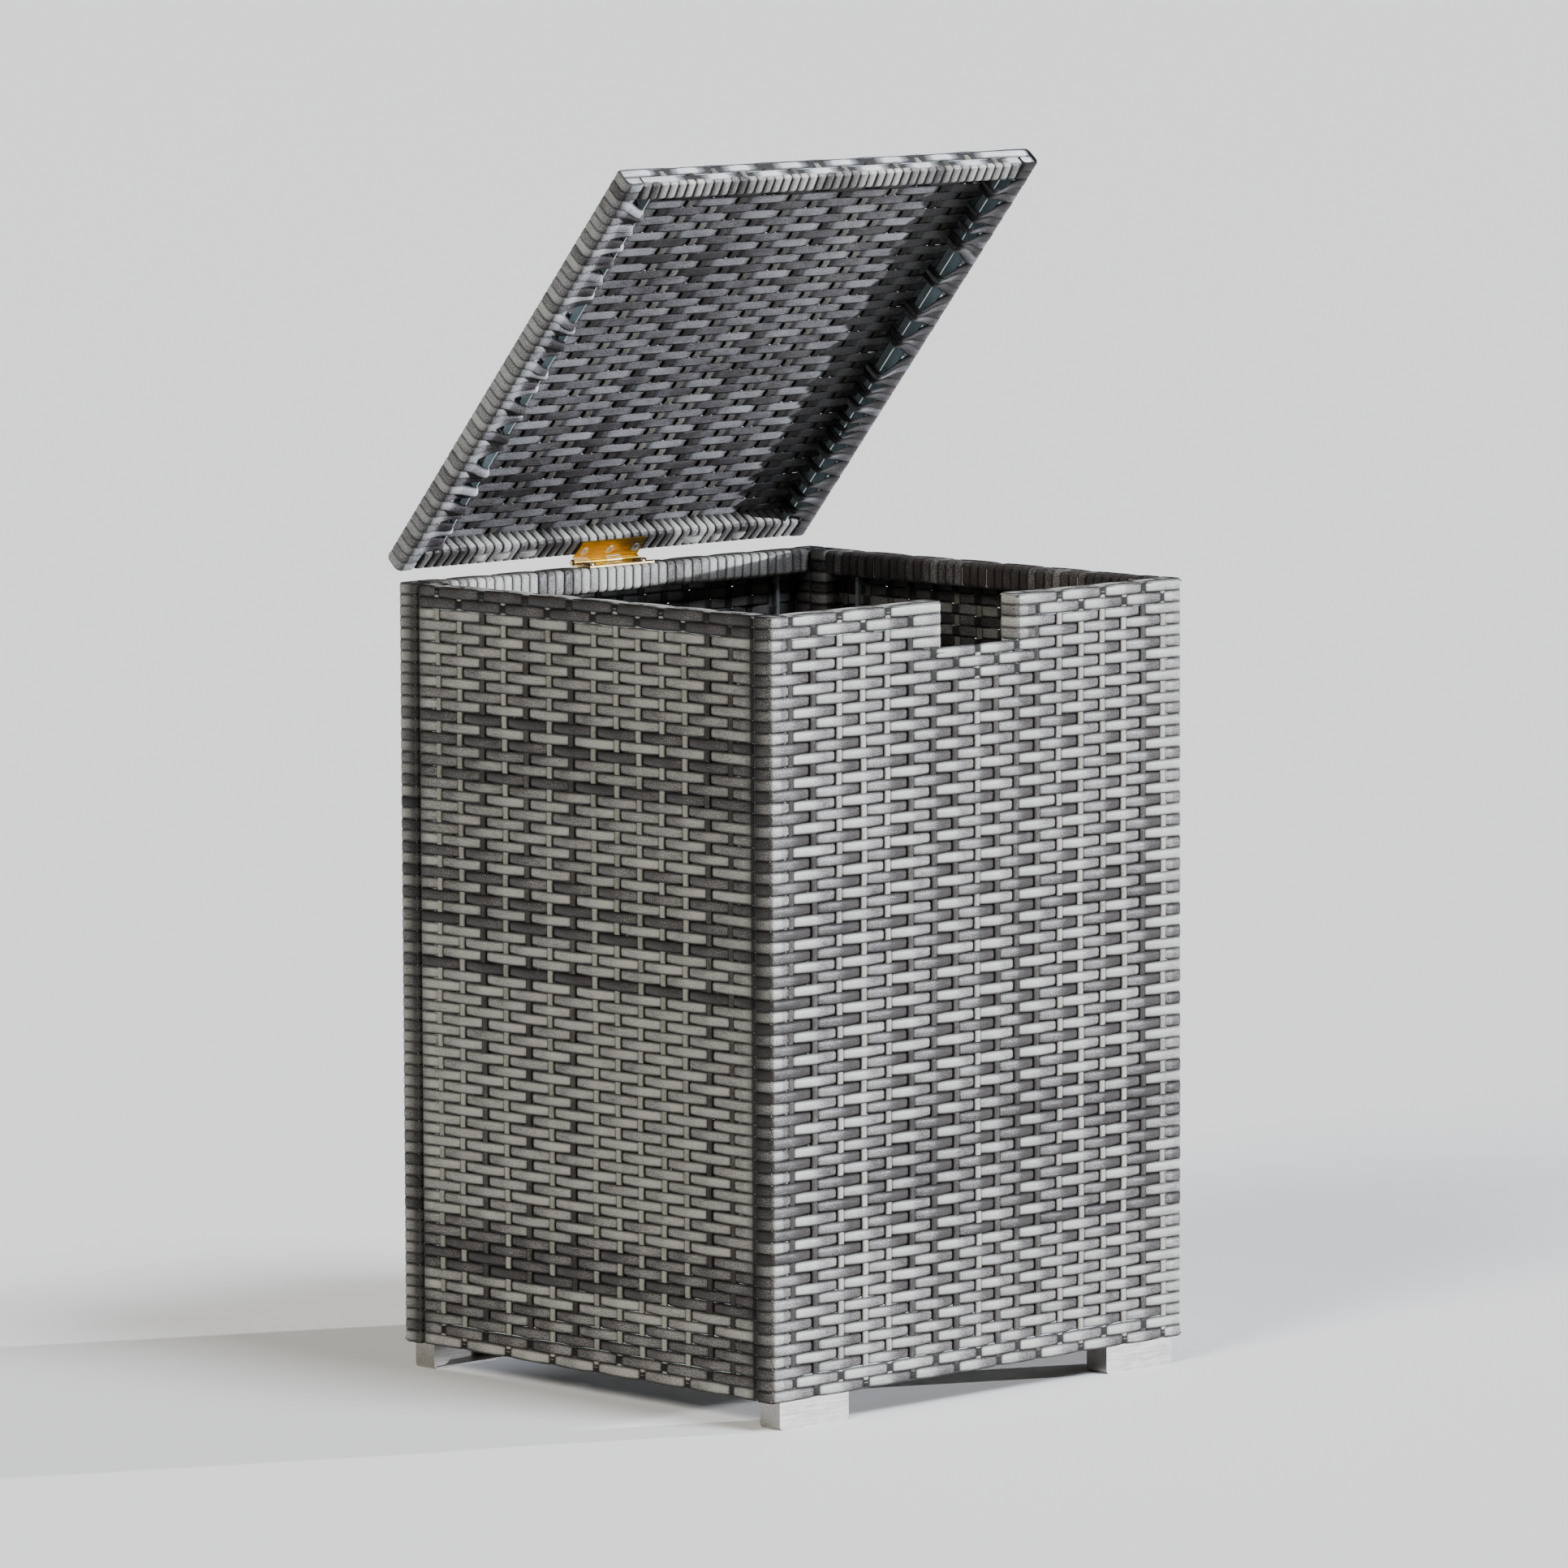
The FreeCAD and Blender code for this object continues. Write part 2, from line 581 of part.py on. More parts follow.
makeWall("front", "Dims.boxWidth", "0", f"{MIDDLE_Y} - Dims.boxDepth / 2", 0, True, notch=True)
makeWall("back", "Dims.boxWidth", "0", f"{MIDDLE_Y} + Dims.boxDepth / 2", 180, True)
makeWall("left", SIDE_WIDTH, "-(Dims.boxWidth / 2 - Dims.sideInset)", MIDDLE_Y, -90, False)
makeWall("right", SIDE_WIDTH, "Dims.boxWidth / 2 - Dims.sideInset", MIDDLE_Y, 90, False)
makeLid()
makeHinge()
for cornerX, column in ((-1, "left"), (1, "right")):
    for cornerY, line in ((-1, "front"), (1, "back")):
        makeFoot(f"foot_{line}_{column}", cornerX, cornerY)
doc.recompute()

for item in doc.Objects:
    if "Invalid" in item.State or "Error" in item.State:
        raise RuntimeError(f"{item.Name} did not compute: {item.State}")
for item in subParts:
    if item.Shape.isNull() or not item.Shape.isValid():
        raise RuntimeError(f"{item.Label} has no valid shape")

os.makedirs("parts", exist_ok=True)
for item in subParts:
    item.Shape.exportStep(f"parts/{item.Label}.step")
    print(item.Label, len(item.Shape.Solids), "solids", round(item.Shape.Volume), "mm3")
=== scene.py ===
import math
import bpy
import numpy as np
from mathutils import Matrix, Vector


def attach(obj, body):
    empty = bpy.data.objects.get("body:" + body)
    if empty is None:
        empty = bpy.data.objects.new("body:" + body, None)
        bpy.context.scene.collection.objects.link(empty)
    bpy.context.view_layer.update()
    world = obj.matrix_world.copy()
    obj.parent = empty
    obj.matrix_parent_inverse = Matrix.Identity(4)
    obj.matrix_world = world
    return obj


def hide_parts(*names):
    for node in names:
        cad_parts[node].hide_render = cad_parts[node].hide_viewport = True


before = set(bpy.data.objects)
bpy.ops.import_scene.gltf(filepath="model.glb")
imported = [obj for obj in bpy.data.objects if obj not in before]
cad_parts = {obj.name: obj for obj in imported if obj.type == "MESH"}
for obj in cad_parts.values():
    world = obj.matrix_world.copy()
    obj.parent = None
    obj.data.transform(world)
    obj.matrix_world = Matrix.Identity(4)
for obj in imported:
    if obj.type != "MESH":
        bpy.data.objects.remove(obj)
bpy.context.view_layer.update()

# Cover table for a gas bottle: woven walls, a woven lid on one hinge, four feet.
# Lengths in the dictionaries are millimetres; the scene is in metres.
mm = 0.001
scene = bpy.context.scene

camera = {
    "place": (-4.8689, -5.0440, 1.1978),  # metres
    "turn": (83.59, 0.24, -43.99),  # degrees
    "lens": 232.1, "sensor": 36.0,
    "farthest": 60.0,  # metres
}
cameraData = bpy.data.cameras.new("photoCamera")
cameraData.lens = camera["lens"]
cameraData.sensor_width = camera["sensor"]
cameraData.clip_end = camera["farthest"]
cameraObject = bpy.data.objects.new("photoCamera", cameraData)
cameraObject.location = camera["place"]
cameraObject.rotation_euler = [math.radians(a) for a in camera["turn"]]
scene.collection.objects.link(cameraObject)
scene.camera = cameraObject


def rgb(code):
    # sRGB hex to linear
    parts = [int(code[i:i + 2], 16) / 255 for i in (1, 3, 5)]
    linear = [c / 12.92 if c <= 0.04045 else ((c + 0.055) / 1.055) ** 2.4 for c in parts]
    return (*linear, 1.0)


def newMaterial(name):
    material = bpy.data.materials.new(name)
    material.use_nodes = True
    tree = material.node_tree
    return material, tree, tree.nodes["Principled BSDF"]


def addNode(tree, kind, inputs=None, **settings):
    # its settings, then its inputs as values or as links
    node = tree.nodes.new(kind)
    for key, value in settings.items():
        setattr(node, key, value)
    for key, value in (inputs or {}).items():
        if isinstance(value, bpy.types.NodeSocket):
            tree.links.new(value, node.inputs[key])
        else:
            node.inputs[key].default_value = value
    return node


def addMath(tree, operation, *values):
    node = addNode(tree, "ShaderNodeMath", dict(enumerate(values)), operation=operation)
    return node.outputs[0]


def addNoise(tree, vector, scale, detail, roughness):
    # grains in a metre along each axis
    place = addNode(tree, "ShaderNodeMapping", {"Vector": vector, "Scale": scale})
    return addNode(tree, "ShaderNodeTexNoise", {
        "Vector": place.outputs[0], "Scale": 1.0, "Detail": detail,
        "Roughness": roughness}).outputs[0]


def addRamp(tree, value, stops):
    node = addNode(tree, "ShaderNodeValToRGB", {"Fac": value})
    elements = node.color_ramp.elements
    while len(elements) < len(stops):
        elements.new(0.5)
    for element, (place, code) in zip(elements, stops):
        element.position, element.color = place, rgb(code)
    return node.outputs[0]


def addRange(tree, value, low, high):
    node = addNode(tree, "ShaderNodeMapRange", {"Value": value, "To Min": low, "To Max": high})
    return node.outputs[0]


def addBump(tree, shader, height, strength, deep):
    bump = addNode(tree, "ShaderNodeBump", {
        "Height": height, "Strength": strength, "Distance": deep})
    tree.links.new(bump.outputs[0], shader.inputs["Normal"])


strandLook = {
    # dye stops from the palest to the darkest strand
    "dyes": [(0.0, "#B0B1AC"), (0.36, "#828180"), (0.68, "#474444"), (1.0, "#2A2726")],
    "streaks": 0.7, "speckle": 1.5, "patches": 0.55,  # how much each shifts the dye
    # grains in a metre along and across, detail, roughness
    "patterns": {
        "streaks": ((160, 1500, 1), 3.0, 0.65),  # millimetres long, half of one wide
        "speckle": ((1100, 1700, 1), 1.0, 0.5),  # near the photograph's grain
        "patches": ((42, 90, 1), 2.0, 0.5),  # where the dye took more or less
    },
    "roughness": (0.24, 0.45), "specular": 0.28,
    "bump": (0.35, 0.0003),  # how strong, how deep
    # painted shade: its colour, how much of it is laid on, and how much rougher the strand is
    # there
    "paintedShadeColour": "#0B0A0A", "paintedShadeShare": 0.95, "paintedShadeDull": 0.35,
}


def strandMaterial(name, look):
    # polyethylene strand with fine ribs; its per-point value holds its dye, fading along the
    # length, and painted light and shade
    material, tree, shader = newMaterial(name)
    total = addNode(tree, "ShaderNodeAttribute", attribute_name="darkness").outputs["Fac"]
    uv = addNode(tree, "ShaderNodeUVMap", uv_map="strandMap").outputs["UV"]
    noises = {}
    for pattern, grains in look["patterns"].items():
        noises[pattern] = addNoise(tree, uv, *grains)
        centred = addMath(tree, "ADD", noises[pattern], -0.5)
        total = addMath(tree, "MULTIPLY_ADD", centred, look[pattern], total)
    # painted shade where strands lie in each other's shade: in the gaps, at their edges, under the
    # stakes and on their rear faces
    hollow = addNode(tree, "ShaderNodeAttribute", attribute_name="hollow").outputs["Fac"]
    depth = addMath(tree, "MULTIPLY", hollow, look["paintedShadeShare"])
    paintedShadeColour = addNode(tree, "ShaderNodeMix", {
        "Factor": depth, "A": addRamp(tree, total, look["dyes"]), "B": rgb(look["paintedShadeColour"])},
        data_type="RGBA")
    tree.links.new(paintedShadeColour.outputs["Result"], shader.inputs["Base Color"])
    gloss = addRange(tree, noises["streaks"], *look["roughness"])
    dull = addMath(tree, "MULTIPLY_ADD", depth, look["paintedShadeDull"], gloss)
    tree.links.new(dull, shader.inputs["Roughness"])
    shader.inputs["Specular IOR Level"].default_value = look["specular"]
    addBump(tree, shader, noises["streaks"], *look["bump"])
    return material


courseMaterial = strandMaterial("polyethyleneStrand", strandLook)
# The lid's strand: a paler, cooler copy, painted lighter in place of light on the lid's underside
paintedLightLidMaterial = strandMaterial("polyethyleneLidStrandPaintedLight", {
    **strandLook,
    "dyes": [(0.0, "#C3C6C8"), (0.36, "#929498"), (0.68, "#4E4B4D"), (1.0, "#272425")]})
# The stakes are the same plastic, rolled flat and matte
stakeMaterial = strandMaterial("polyethyleneStake", {
    **strandLook, "roughness": (0.53, 0.74), "speckle": 1.2,
    "dyes": [(0.0, "#A2A39B"), (0.38, "#71706A"), (0.68, "#3E3B39"), (1.0, "#262321")]})
print("materials made")


strandForm = {
    "thick": 1.3,
    "dip": 2.3,  # how far a course goes in to pass under a stake
    "railDip": 0.45,  # where a rail's tube is right behind
    "postDip": 1.5,  # and beside an upright tube
    "drawnWide": 0.79,  # its width where it dives, as a share
    "drawnFrom": 0.75,  # draws in when less far up than this
    "paintedShade": (1.2, 3.2),  # painted shade under a stake: the most, and how soon it ends
    # painted shade on a course's rear face
    "rearPaintedShade": 0.72,
    # from under one stake to over the next: share of the way, share of the climb
    "climb": [(0.0, 0.0), (0.12, 0.05), (0.17, 0.26), (0.24, 0.37), (0.6, 0.72), (0.92, 0.99)],
    # crowned section: shares of width and of thickness, and how much painted shade lies there,
    # most at the edges and underside
    "section": [(-0.5, -0.40, 1.0), (-0.42, 0.10, 0.80), (-0.25, 0.44, 0.0), (0.25, 0.44, 0.0),
                (0.42, 0.10, 0.80), (0.5, -0.40, 1.0), (0.3, -0.5, 0.4), (-0.3, -0.5, 0.4)],
    "rearBelow": -0.45,  # the rear face is further in than this
    "mapSize": (7.5, 1.4),  # the section's size for its pattern
    "lane": 0.031,  # metres of pattern between two strands' sides
}
# metres of pattern from one strand's start to the next one's
patternStep = {"course": 0.4, "stake": 0.6, "turn": 0.2, "length": 0.3}
sectionPoints = np.array(strandForm["section"])[:, :2]
sectionHollow = np.array(strandForm["section"])[:, 2]
sectionSteps = (np.roll(sectionPoints, -1, axis=0) - sectionPoints) * strandForm["mapSize"]
sectionRun = np.concatenate([[0.0], np.cumsum(np.hypot(*sectionSteps.T))])


def makeStrands(name, strands, place, material, body):
    # one mesh from a panel's strands; place is the matrix of the panel's own axes
    turn, move = place[:3, :3].T, place[:3, 3]
    places, dyes, hollows, faces, loopUv = [], [], [], [], []
    base = 0
    count = len(sectionPoints)
    for number, strand in enumerate(strands):
        points = strand["points"] @ turn + move
        across, out = (strand[key] @ turn for key in ("across", "out"))
        n = len(points)
        wide = np.broadcast_to(strand["wide"], n)[:, None, None]
        thick = np.broadcast_to(strand["thick"], n)[:, None, None]
        ring = (points[:, None, :]
                + across[:, None, :] * sectionPoints[None, :, 0:1] * wide
                + out[:, None, :] * sectionPoints[None, :, 1:2] * thick)
        places.append(ring.reshape(-1, 3))
        dyes.append(np.repeat(np.broadcast_to(strand["darkness"], n), count))
        # painted shade: at the section's edges and underside, on the rear face, and where the
        # strand is marked as shaded
        paintedShade = np.broadcast_to(strand["paintedShade"], n)[:, None]
        rear = strand["rear"] * (sectionPoints[:, 1] < strandForm["rearBelow"])
        hollow = np.maximum(sectionHollow, rear)
        hollows.append((1 - (1 - paintedShade) * (1 - hollow[None, :])).ravel())
        index = base + np.arange(n * count).reshape(n, count)
        ahead = np.roll(index, -1, axis=1)
        quads = np.stack([index[:-1], index[1:], ahead[1:], ahead[:-1]], axis=-1)
        faces += [*quads.reshape(-1, 4).tolist(), index[0].tolist(), index[-1][::-1].tolist()]
        base += n * count
        # the pattern runs along the strand and round it, in a lane of its own
        steps = np.linalg.norm(np.diff(points, axis=0), axis=1)
        along = np.concatenate([[0.0], np.cumsum(steps)]) * mm + strand["start"]
        lane = sectionRun * mm + number * strandForm["lane"]
        grid = np.stack(np.broadcast_arrays(along[:, None], lane), -1)
        corners = np.stack([grid[:-1, :-1], grid[1:, :-1], grid[1:, 1:], grid[:-1, 1:]], axis=2)
        loopUv += [corners.reshape(-1, 2), grid[0, :-1], grid[-1, -2::-1]]
    mesh = bpy.data.meshes.new(name)
    mesh.from_pydata((np.concatenate(places) * mm).tolist(), [], faces)
    layer = mesh.uv_layers.new(name="strandMap")
    layer.data.foreach_set("uv", np.concatenate(loopUv).astype(np.float32).ravel())
    for label, values in (("darkness", dyes), ("hollow", hollows)):
        attribute = mesh.attributes.new(label, "FLOAT", "POINT")
        attribute.data.foreach_set("value", np.concatenate(values).astype(np.float32))
    mesh.polygons.foreach_set("use_smooth", [len(p) == 4 for p in faces])
    mesh.materials.append(material)
    mesh.update()
    piece = bpy.data.objects.new(name, mesh)
    scene.collection.objects.link(piece)
    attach(piece, body)
    print(name, len(strands), "strands", sum(len(f) - 2 for f in faces), "triangles")
    return piece


def roundedLine(corners, radii, perArc=4):
    # a plane line with rounded corners
    corners = np.array(corners, float)
    out = [corners[0]]
    for before, corner, after, radius in zip(corners, corners[1:], corners[2:], radii):
        a = (before - corner) / np.linalg.norm(before - corner)
        b = (after - corner) / np.linalg.norm(after - corner)
        half = math.acos(max(-1.0, min(1.0, float(a @ b)))) / 2
        reach = radius / math.tan(half)
        middle = corner + (a + b) / np.linalg.norm(a + b) * radius / math.sin(half)
        first, last = corner + a * reach, corner + b * reach
        for q in np.linspace(0, 1, perArc + 1):
            v = (first - middle) * math.sin((1 - q) * (math.pi - 2 * half)) \
                + (last - middle) * math.sin(q * (math.pi - 2 * half))
            out.append(middle + v / np.linalg.norm(v) * radius)
    return np.array([*out, corners[-1]])


def directions(points):
    steps = np.gradient(points, axis=0)
    return steps / np.linalg.norm(steps, axis=1)[:, None]


def planeNormals(line):
    # to the left of the way the line runs
    tangent = directions(line)
    return np.column_stack([-tangent[:, 1], tangent[:, 0]])


def axes(origin, along, out):
    # a panel's own axes: along, across and out
    matrix = np.eye(4)
    matrix[:3] = np.column_stack([along, np.cross(out, along), out, origin])
    return matrix


def wander(value, seed, size):
    # slow, repeatable unevenness of hand weaving
    return size * (math.sin(value * 1.7 + seed * 2.3) + 0.6 * math.sin(value * 3.9 + seed * 5.1)
                   + 0.4 * math.sin(value * 8.3 + seed * 1.3)) / 2


def sway(wave, seed, places):
    # wandering, for a wave's length and size
    length, size = wave
    return np.array([wander(place / length, seed, size) for place in places])


courseEnd = {
    "radii": (2.0, 3.0, 3.0),  # round an upright rail, from its inner side
    "tuck": 2.5,  # in thicknesses, behind the rail from the face
    "landing": 0.55,  # lies flat on the face from here on, as a share of the rail
    "cut": [(0.2, 0.8, 0.8), (1.6, 0.0, 1.0)],  # a cut end: along, in, and how far up
    "climb": 18.0,  # the longest climb between an end and a stake
    "least": 9.0,  # no climb on a shorter stretch
    "flat": 1.0,
}


def courseLine(start, end, stakes, over, form, dipAt, reach, wound):
    # One course seen from above, and how far up it is (0 to 1). over: in front of the first
    # stake; dipAt(x): how far it dips; reach: the rail's thickness.
    thick, half = form["thick"], form["thick"] / 2
    landing = courseEnd["landing"] * reach

    def nearEnd():
        if not wound:
            return ([(start + x, -half - deep) for x, deep, _ in courseEnd["cut"]],
                    [level for *_, level in courseEnd["cut"]])
        corners = [(start + reach - half, -courseEnd["tuck"] * thick),
                   (start + reach - half, -reach + half), (start + half, -reach + half),
                   (start + half, -half), (start + landing, -half)]
        curve = roundedLine(corners, courseEnd["radii"]).tolist()
        return curve, [1.0] * len(curve)

    line, up = nearEnd()

    def add(x, level):
        line.append((x, -half - (1 - level) * dipAt(x)))
        up.append(level)

    def climb(stake, run):
        # away from a stake that it passes behind, or towards it
        steps = form["climb"][1:]
        for share, level in steps if run > 0 else reversed(steps):
            add(stake + run * share, level)

    first, last = stakes[0], stakes[-1]
    if not over and first - start > courseEnd["least"]:
        climb(first, max(line[-1][0] + courseEnd["flat"], first - courseEnd["climb"]) - first)
    for a, b in zip(stakes, stakes[1:]):
        add(a, float(over))
        if over:
            climb(b, a - b)
        else:
            climb(a, b - a)
        over = not over
    add(last, float(over))
    if not over and end - last > courseEnd["least"]:
        climb(last, min(end - landing - courseEnd["flat"], last + courseEnd["climb"]) - last)
    # the far end mirrors the near one
    points, heights = nearEnd()
    line += [(start + end - x, y) for x, y in reversed(points)]
    up += heights[::-1]
    return np.array(line), np.array(up)


def layCourse(line, up, seat, darkness, wide, thick, row, sag=0.0):
    # put a plane course at its seat in the panel
    centre, side, normal = np.array(seat, float)
    along = np.array((1.0, 0.0, 0.0))
    tangent = directions(line)
    points = line[:, 0:1] * along + line[:, 1:2] * normal + centre
    points = points + np.broadcast_to(sag, len(points))[:, None] * side
    drawn, most = strandForm["drawnWide"], strandForm["paintedShade"][0]
    narrow = np.clip(up / strandForm["drawnFrom"], 0, 1) ** 0.5
    return {"points": points, "across": np.tile(side, (len(points), 1)),
            "out": tangent[:, 0:1] * normal - tangent[:, 1:2] * along,
            "wide": wide * (drawn + (1 - drawn) * narrow), "thick": thick, "darkness": darkness,
            "start": row * patternStep["course"],
            # painted shade where the course dives under a stake
            "paintedShade": np.clip(most - strandForm["paintedShade"][1] * up, 0, 1),
            "rear": strandForm["rearPaintedShade"]}


def strandAlong(points, outHint, darkness, wide, thick, start):
    # a strand through any points; outHint says which way its crown faces at each
    tangent = directions(points)
    hint = np.array(outHint, float) * np.ones((len(points), 1))
    out = hint - np.sum(hint * tangent, axis=1)[:, None] * tangent
    out /= np.linalg.norm(out, axis=1)[:, None]
    return {"points": points, "across": np.cross(out, tangent), "out": out, "wide": wide,
            "thick": thick, "darkness": darkness, "start": start, "paintedShade": 0.0, "rear": 0.0}


stakeForm = {
    "skin": 0.45,  # over a rail, from the panel's face to the stake's
    "endClear": 4.05,  # no point of its long run nearer to either edge
    "dyeDrift": (0.1, 60),
    # rear: painted shade on a stake's rear face
    "wall": {"wide": 6.5, "thick": 0.8, "rear": 0.8, "dyes": (0.12, 0.78),
             "deep": 1.4,  # its middle below the crowns
             "swing": 0.4,  # from behind a course to in front of the next
             "ease": 12.0,  # from a rail's edge to where it lies that deep
             "sway": (90, 0.9), "radii": (2.0, 3.0, 3.2)},
    "lid": {"wide": 7.4, "thick": 1.0, "rear": 0.0, "dyes": (0.45, 0.85), "deep": 1.7,
            "swing": 1.5, "ease": 7.0, "sway": (70, 0.7), "radii": (0.8, 2.6)},
}


def stakesAt(panel, kind, place):
    wave = stakeForm[kind]["sway"]
    return [s + sway(wave, k, [place])[0] for k, s in enumerate(panel["stakes"])]


def layStake(panel, kind, k, low, high, pitch, hook):
    # A stake, behind one course and in front of the next. hook: its path round a rail, from
    # the rail's edge and from the panel's face.
    form = stakeForm[kind]
    skin = stakeForm["skin"] + form["thick"] / 2
    corners = [(low + a, b) for a, b in hook] + [(high - a, b) for a, b in reversed(hook)]
    curve = roundedLine(corners, (*form["radii"], *reversed(form["radii"])), 3)
    middle = len(curve) // 2
    run = []
    # its long run gets a point at and between the courses
    for step in range(2, int(2 * (high - low - stakeForm["endClear"]) / pitch) + 1):
        place = step * pitch / 2
        level = 0.5 if step % 2 == 0 else float((step // 2 + k) % 2)
        ease = min(1.0, min(place, high - low - place) / form["ease"])
        sink = form["deep"] * ease + skin * (1 - ease)
        run.append((low + place, -sink - (0.5 - level) * form["swing"]))
    line = np.array([*curve[:middle], *run, *curve[middle:]])
    points = np.column_stack([panel["stakes"][k] + sway(form["sway"], k, line[:, 0]), line])
    size, length = stakeForm["dyeDrift"]
    darkness = form["dyes"][k in panel["darkStakes"]] + size * np.sin(line[:, 0] / length + k)
    return {"points": points, "across": np.tile((-1.0, 0.0, 0.0), (len(line), 1)),
            "out": np.column_stack([np.zeros(len(line)), planeNormals(line)]),
            "wide": form["wide"], "thick": form["thick"], "darkness": darkness,
            "start": k * patternStep["stake"], "paintedShade": 0.0, "rear": form["rear"]}


wallForm = {
    "low": 19.5, "high": 553.0, "rows": 68, "rail": 17.8,
    "notch": 36.0, "sill": 519.0,  # the hand notch's half width and its floor
    "jamb": 4.0,  # a stake this near to the notch stops at its floor too
    "stakeClear": 12.0,  # a course leaves out the stakes nearer to its ends
    "capEnd": 0.5,  # from the wall's edge to the courses over a rail
    "sillEnd": 6.0,  # those over the notch's floor run on into its jambs
    "capWide": 8.5,  # strand on the top and the bottom rail
    "edgeWide": 8.8, "edgeReach": 6.0,  # strand round an upright edge, and how far in
    "postReach": 1.4,  # in rails, how far in an upright tube is felt
    "sag": (60, 0.22),  # a course's unevenness: length and size
    "hookEnd": 3.4,  # a stake's end behind a rail, from the face
    # painted shade on a course's end face, deeper than this round the left rail
    "endFaceShade": 0.3, "woundDeep": 1.5,
    # painted light and shade: a brick is painted paler where it climbs, and darker, by a bit more,
    # where it goes down
    "steep": 30, "downSlopeShade": 1.5,
    # painted shade between two panels: how much, how near to the edge, how deep
    "sideJoint": (0.95, 4.6), "faceJoint": (0.85, 5.0, 11.0),
    # a dye's drift along a course: size, length, shift by row and by seed
    "dyeDrift": [(0.07, 41, 2.3, 1), (0.05, 17, 4.1, 3)], "plainDye": 0.2,
}
sideStakes = [20.5 + 22.6 * i for i in range(14)]
# the top rail turns' tone: the back's is its own, the side walls' is set darker as painted shade
walls = {
    # painted slope shade: how much paler one end of a brick is painted; wound: faces of the top
    # rail with turns on
    "front": {
        "width": 400.0, "wide": 8.2, "paintedSlopeShade": 0.22, "seed": 13.5, "wound": (),
        "stakes": [20, 42, 66, 89, 112, 134, 156, 177, 198, 217, 236, 256, 278, 299, 321,
                   342, 361, 381],
        "darkStakes": {0, 1, 5, 6, 7, 9, 10, 11, 16},
        "runs": [(0, 12, 0, 0.20, 0.24), (0, 9, 1, 0.34, 0.42), (10, 24, 1, 0.50, 0.58),
                 (13, 40, 0, 0.14, 0.06), (25, 40, 1, 0.64, 0.70), (41, 50, 0, 0.18, 0.30),
                 (41, 56, 1, 0.62, 0.74), (51, 56, 0, 0.24, 0.12), (57, 67, 0, 0.26, 0.16),
                 (57, 67, 1, 0.44, 0.34)],
        "patches": [(70, 26, 0.22, 45, 3.5), (330, 27, 0.18, 70, 3.0), (40, 35, 0.2, 40, 4.0),
                    (260, 45, 0.25, 110, 2.2), (360, 46, 0.35, 45, 2.6),
                    (330, 55, 0.35, 90, 1.4), (120, 50, 0.2, 70, 3.0)],
        "axes": axes((-200, -189.3, 0), (1, 0, 0), (0, -1, 0))},
    "back": {
        "width": 400.0, "wide": 8.6, "paintedSlopeShade": 0.08, "seed": 10.8, "railDyeAndShade": 0.25,
        "wound": ("edge", "inner"), "stakes": [20 + 21.2 * i for i in range(18)],
        "darkStakes": {2, 3, 8, 12, 13},
        "runs": [(0, 18, 1, 0.25, 0.6), (19, 40, 1, 0.8, 0.35), (41, 67, 0, 0.15, 0.45),
                 (41, 55, 1, 0.3, 0.7)],
        "patches": [(90, 14, 0.3, 60, 2.5), (300, 34, 0.3, 80, 3.0), (180, 58, 0.3, 70, 2.5)],
        "axes": axes((200, 183.7, 0), (-1, 0, 0), (0, 1, 0))},
    "left": {
        "width": 337.2, "wide": 8.0, "paintedSlopeShade": -0.09, "seed": 10.8, "railDyeAndShade": 0.75,
        "wound": ("inner",), "stakes": sideStakes, "darkStakes": {2, 4, 6, 12, 13},
        "runs": [(0, 1, 0, 0.88, 0.88), (0, 1, 1, 0.84, 0.84), (2, 10, 0, 0.22, 0.30),
                 (2, 10, 1, 0.30, 0.44), (11, 13, 1, 0.86, 0.84), (14, 16, 0, 0.42, 0.80),
                 (15, 21, 1, 0.46, 0.36), (17, 21, 0, 0.30, 0.26), (22, 29, 1, 0.50, 0.90),
                 (30, 32, 1, 0.16, 0.16), (33, 33, 1, 0.95, 0.95), (35, 53, 1, 0.22, 0.24),
                 (54, 56, 0, 0.34, 0.44), (57, 60, 1, 0.62, 0.84), (58, 60, 0, 0.60, 0.76),
                 (63, 66, 0, 0.48, 0.54), (63, 66, 1, 0.58, 0.62)],
        "patches": [(60, 60, 0.15, 60, 3.0), (30, 24, 0.15, 40, 5.0)],
        "axes": axes((-198.5, 165.8, 0), (0, -1, 0), (-1, 0, 0))},
    "right": {
        "width": 337.2, "wide": 8.6, "paintedSlopeShade": 0.08, "seed": 13.5, "railDyeAndShade": 0.95,
        "wound": ("edge", "inner"), "stakes": sideStakes, "darkStakes": {1, 5, 9, 10},
        "runs": [(0, 12, 1, 0.7, 0.5), (13, 30, 0, 0.2, 0.1), (20, 38, 1, 0.5, 0.85),
                 (39, 67, 1, 0.2, 0.5)],
        "patches": [(200, 8, 0.25, 80, 2.5), (80, 30, 0.25, 60, 3.0),
                    (260, 52, 0.3, 70, 3.0)],
        "axes": axes((198.5, -171.4, 0), (0, 1, 0), (1, 0, 0))},
}


def courseDye(panel, row, along):
    # Two spools are woven in turn. A run is first row, last row (from the top), spool, dye at
    # its start and end.
    tone = wallForm["plainDye"]
    for first, last, spool, startDye, endDye in panel["runs"]:
        if first <= row <= last and row % 2 == spool:
            tone = startDye + (endDye - startDye) * (row - first) / max(1, last - first)
    for size, length, byRow, bySeed in wallForm["dyeDrift"]:
        tone = tone + size * np.sin(along / length + row * byRow + panel["seed"] * bySeed)
    # where both spools ran dark: along, row, dye, reach along, reach in rows
    for place, middle, darkness, wide, high in panel["patches"]:
        far = ((along - place) / wide) ** 2 + ((row - middle) / high) ** 2
        tone = tone + darkness * np.exp(-far)
    return np.clip(tone, 0, 1)


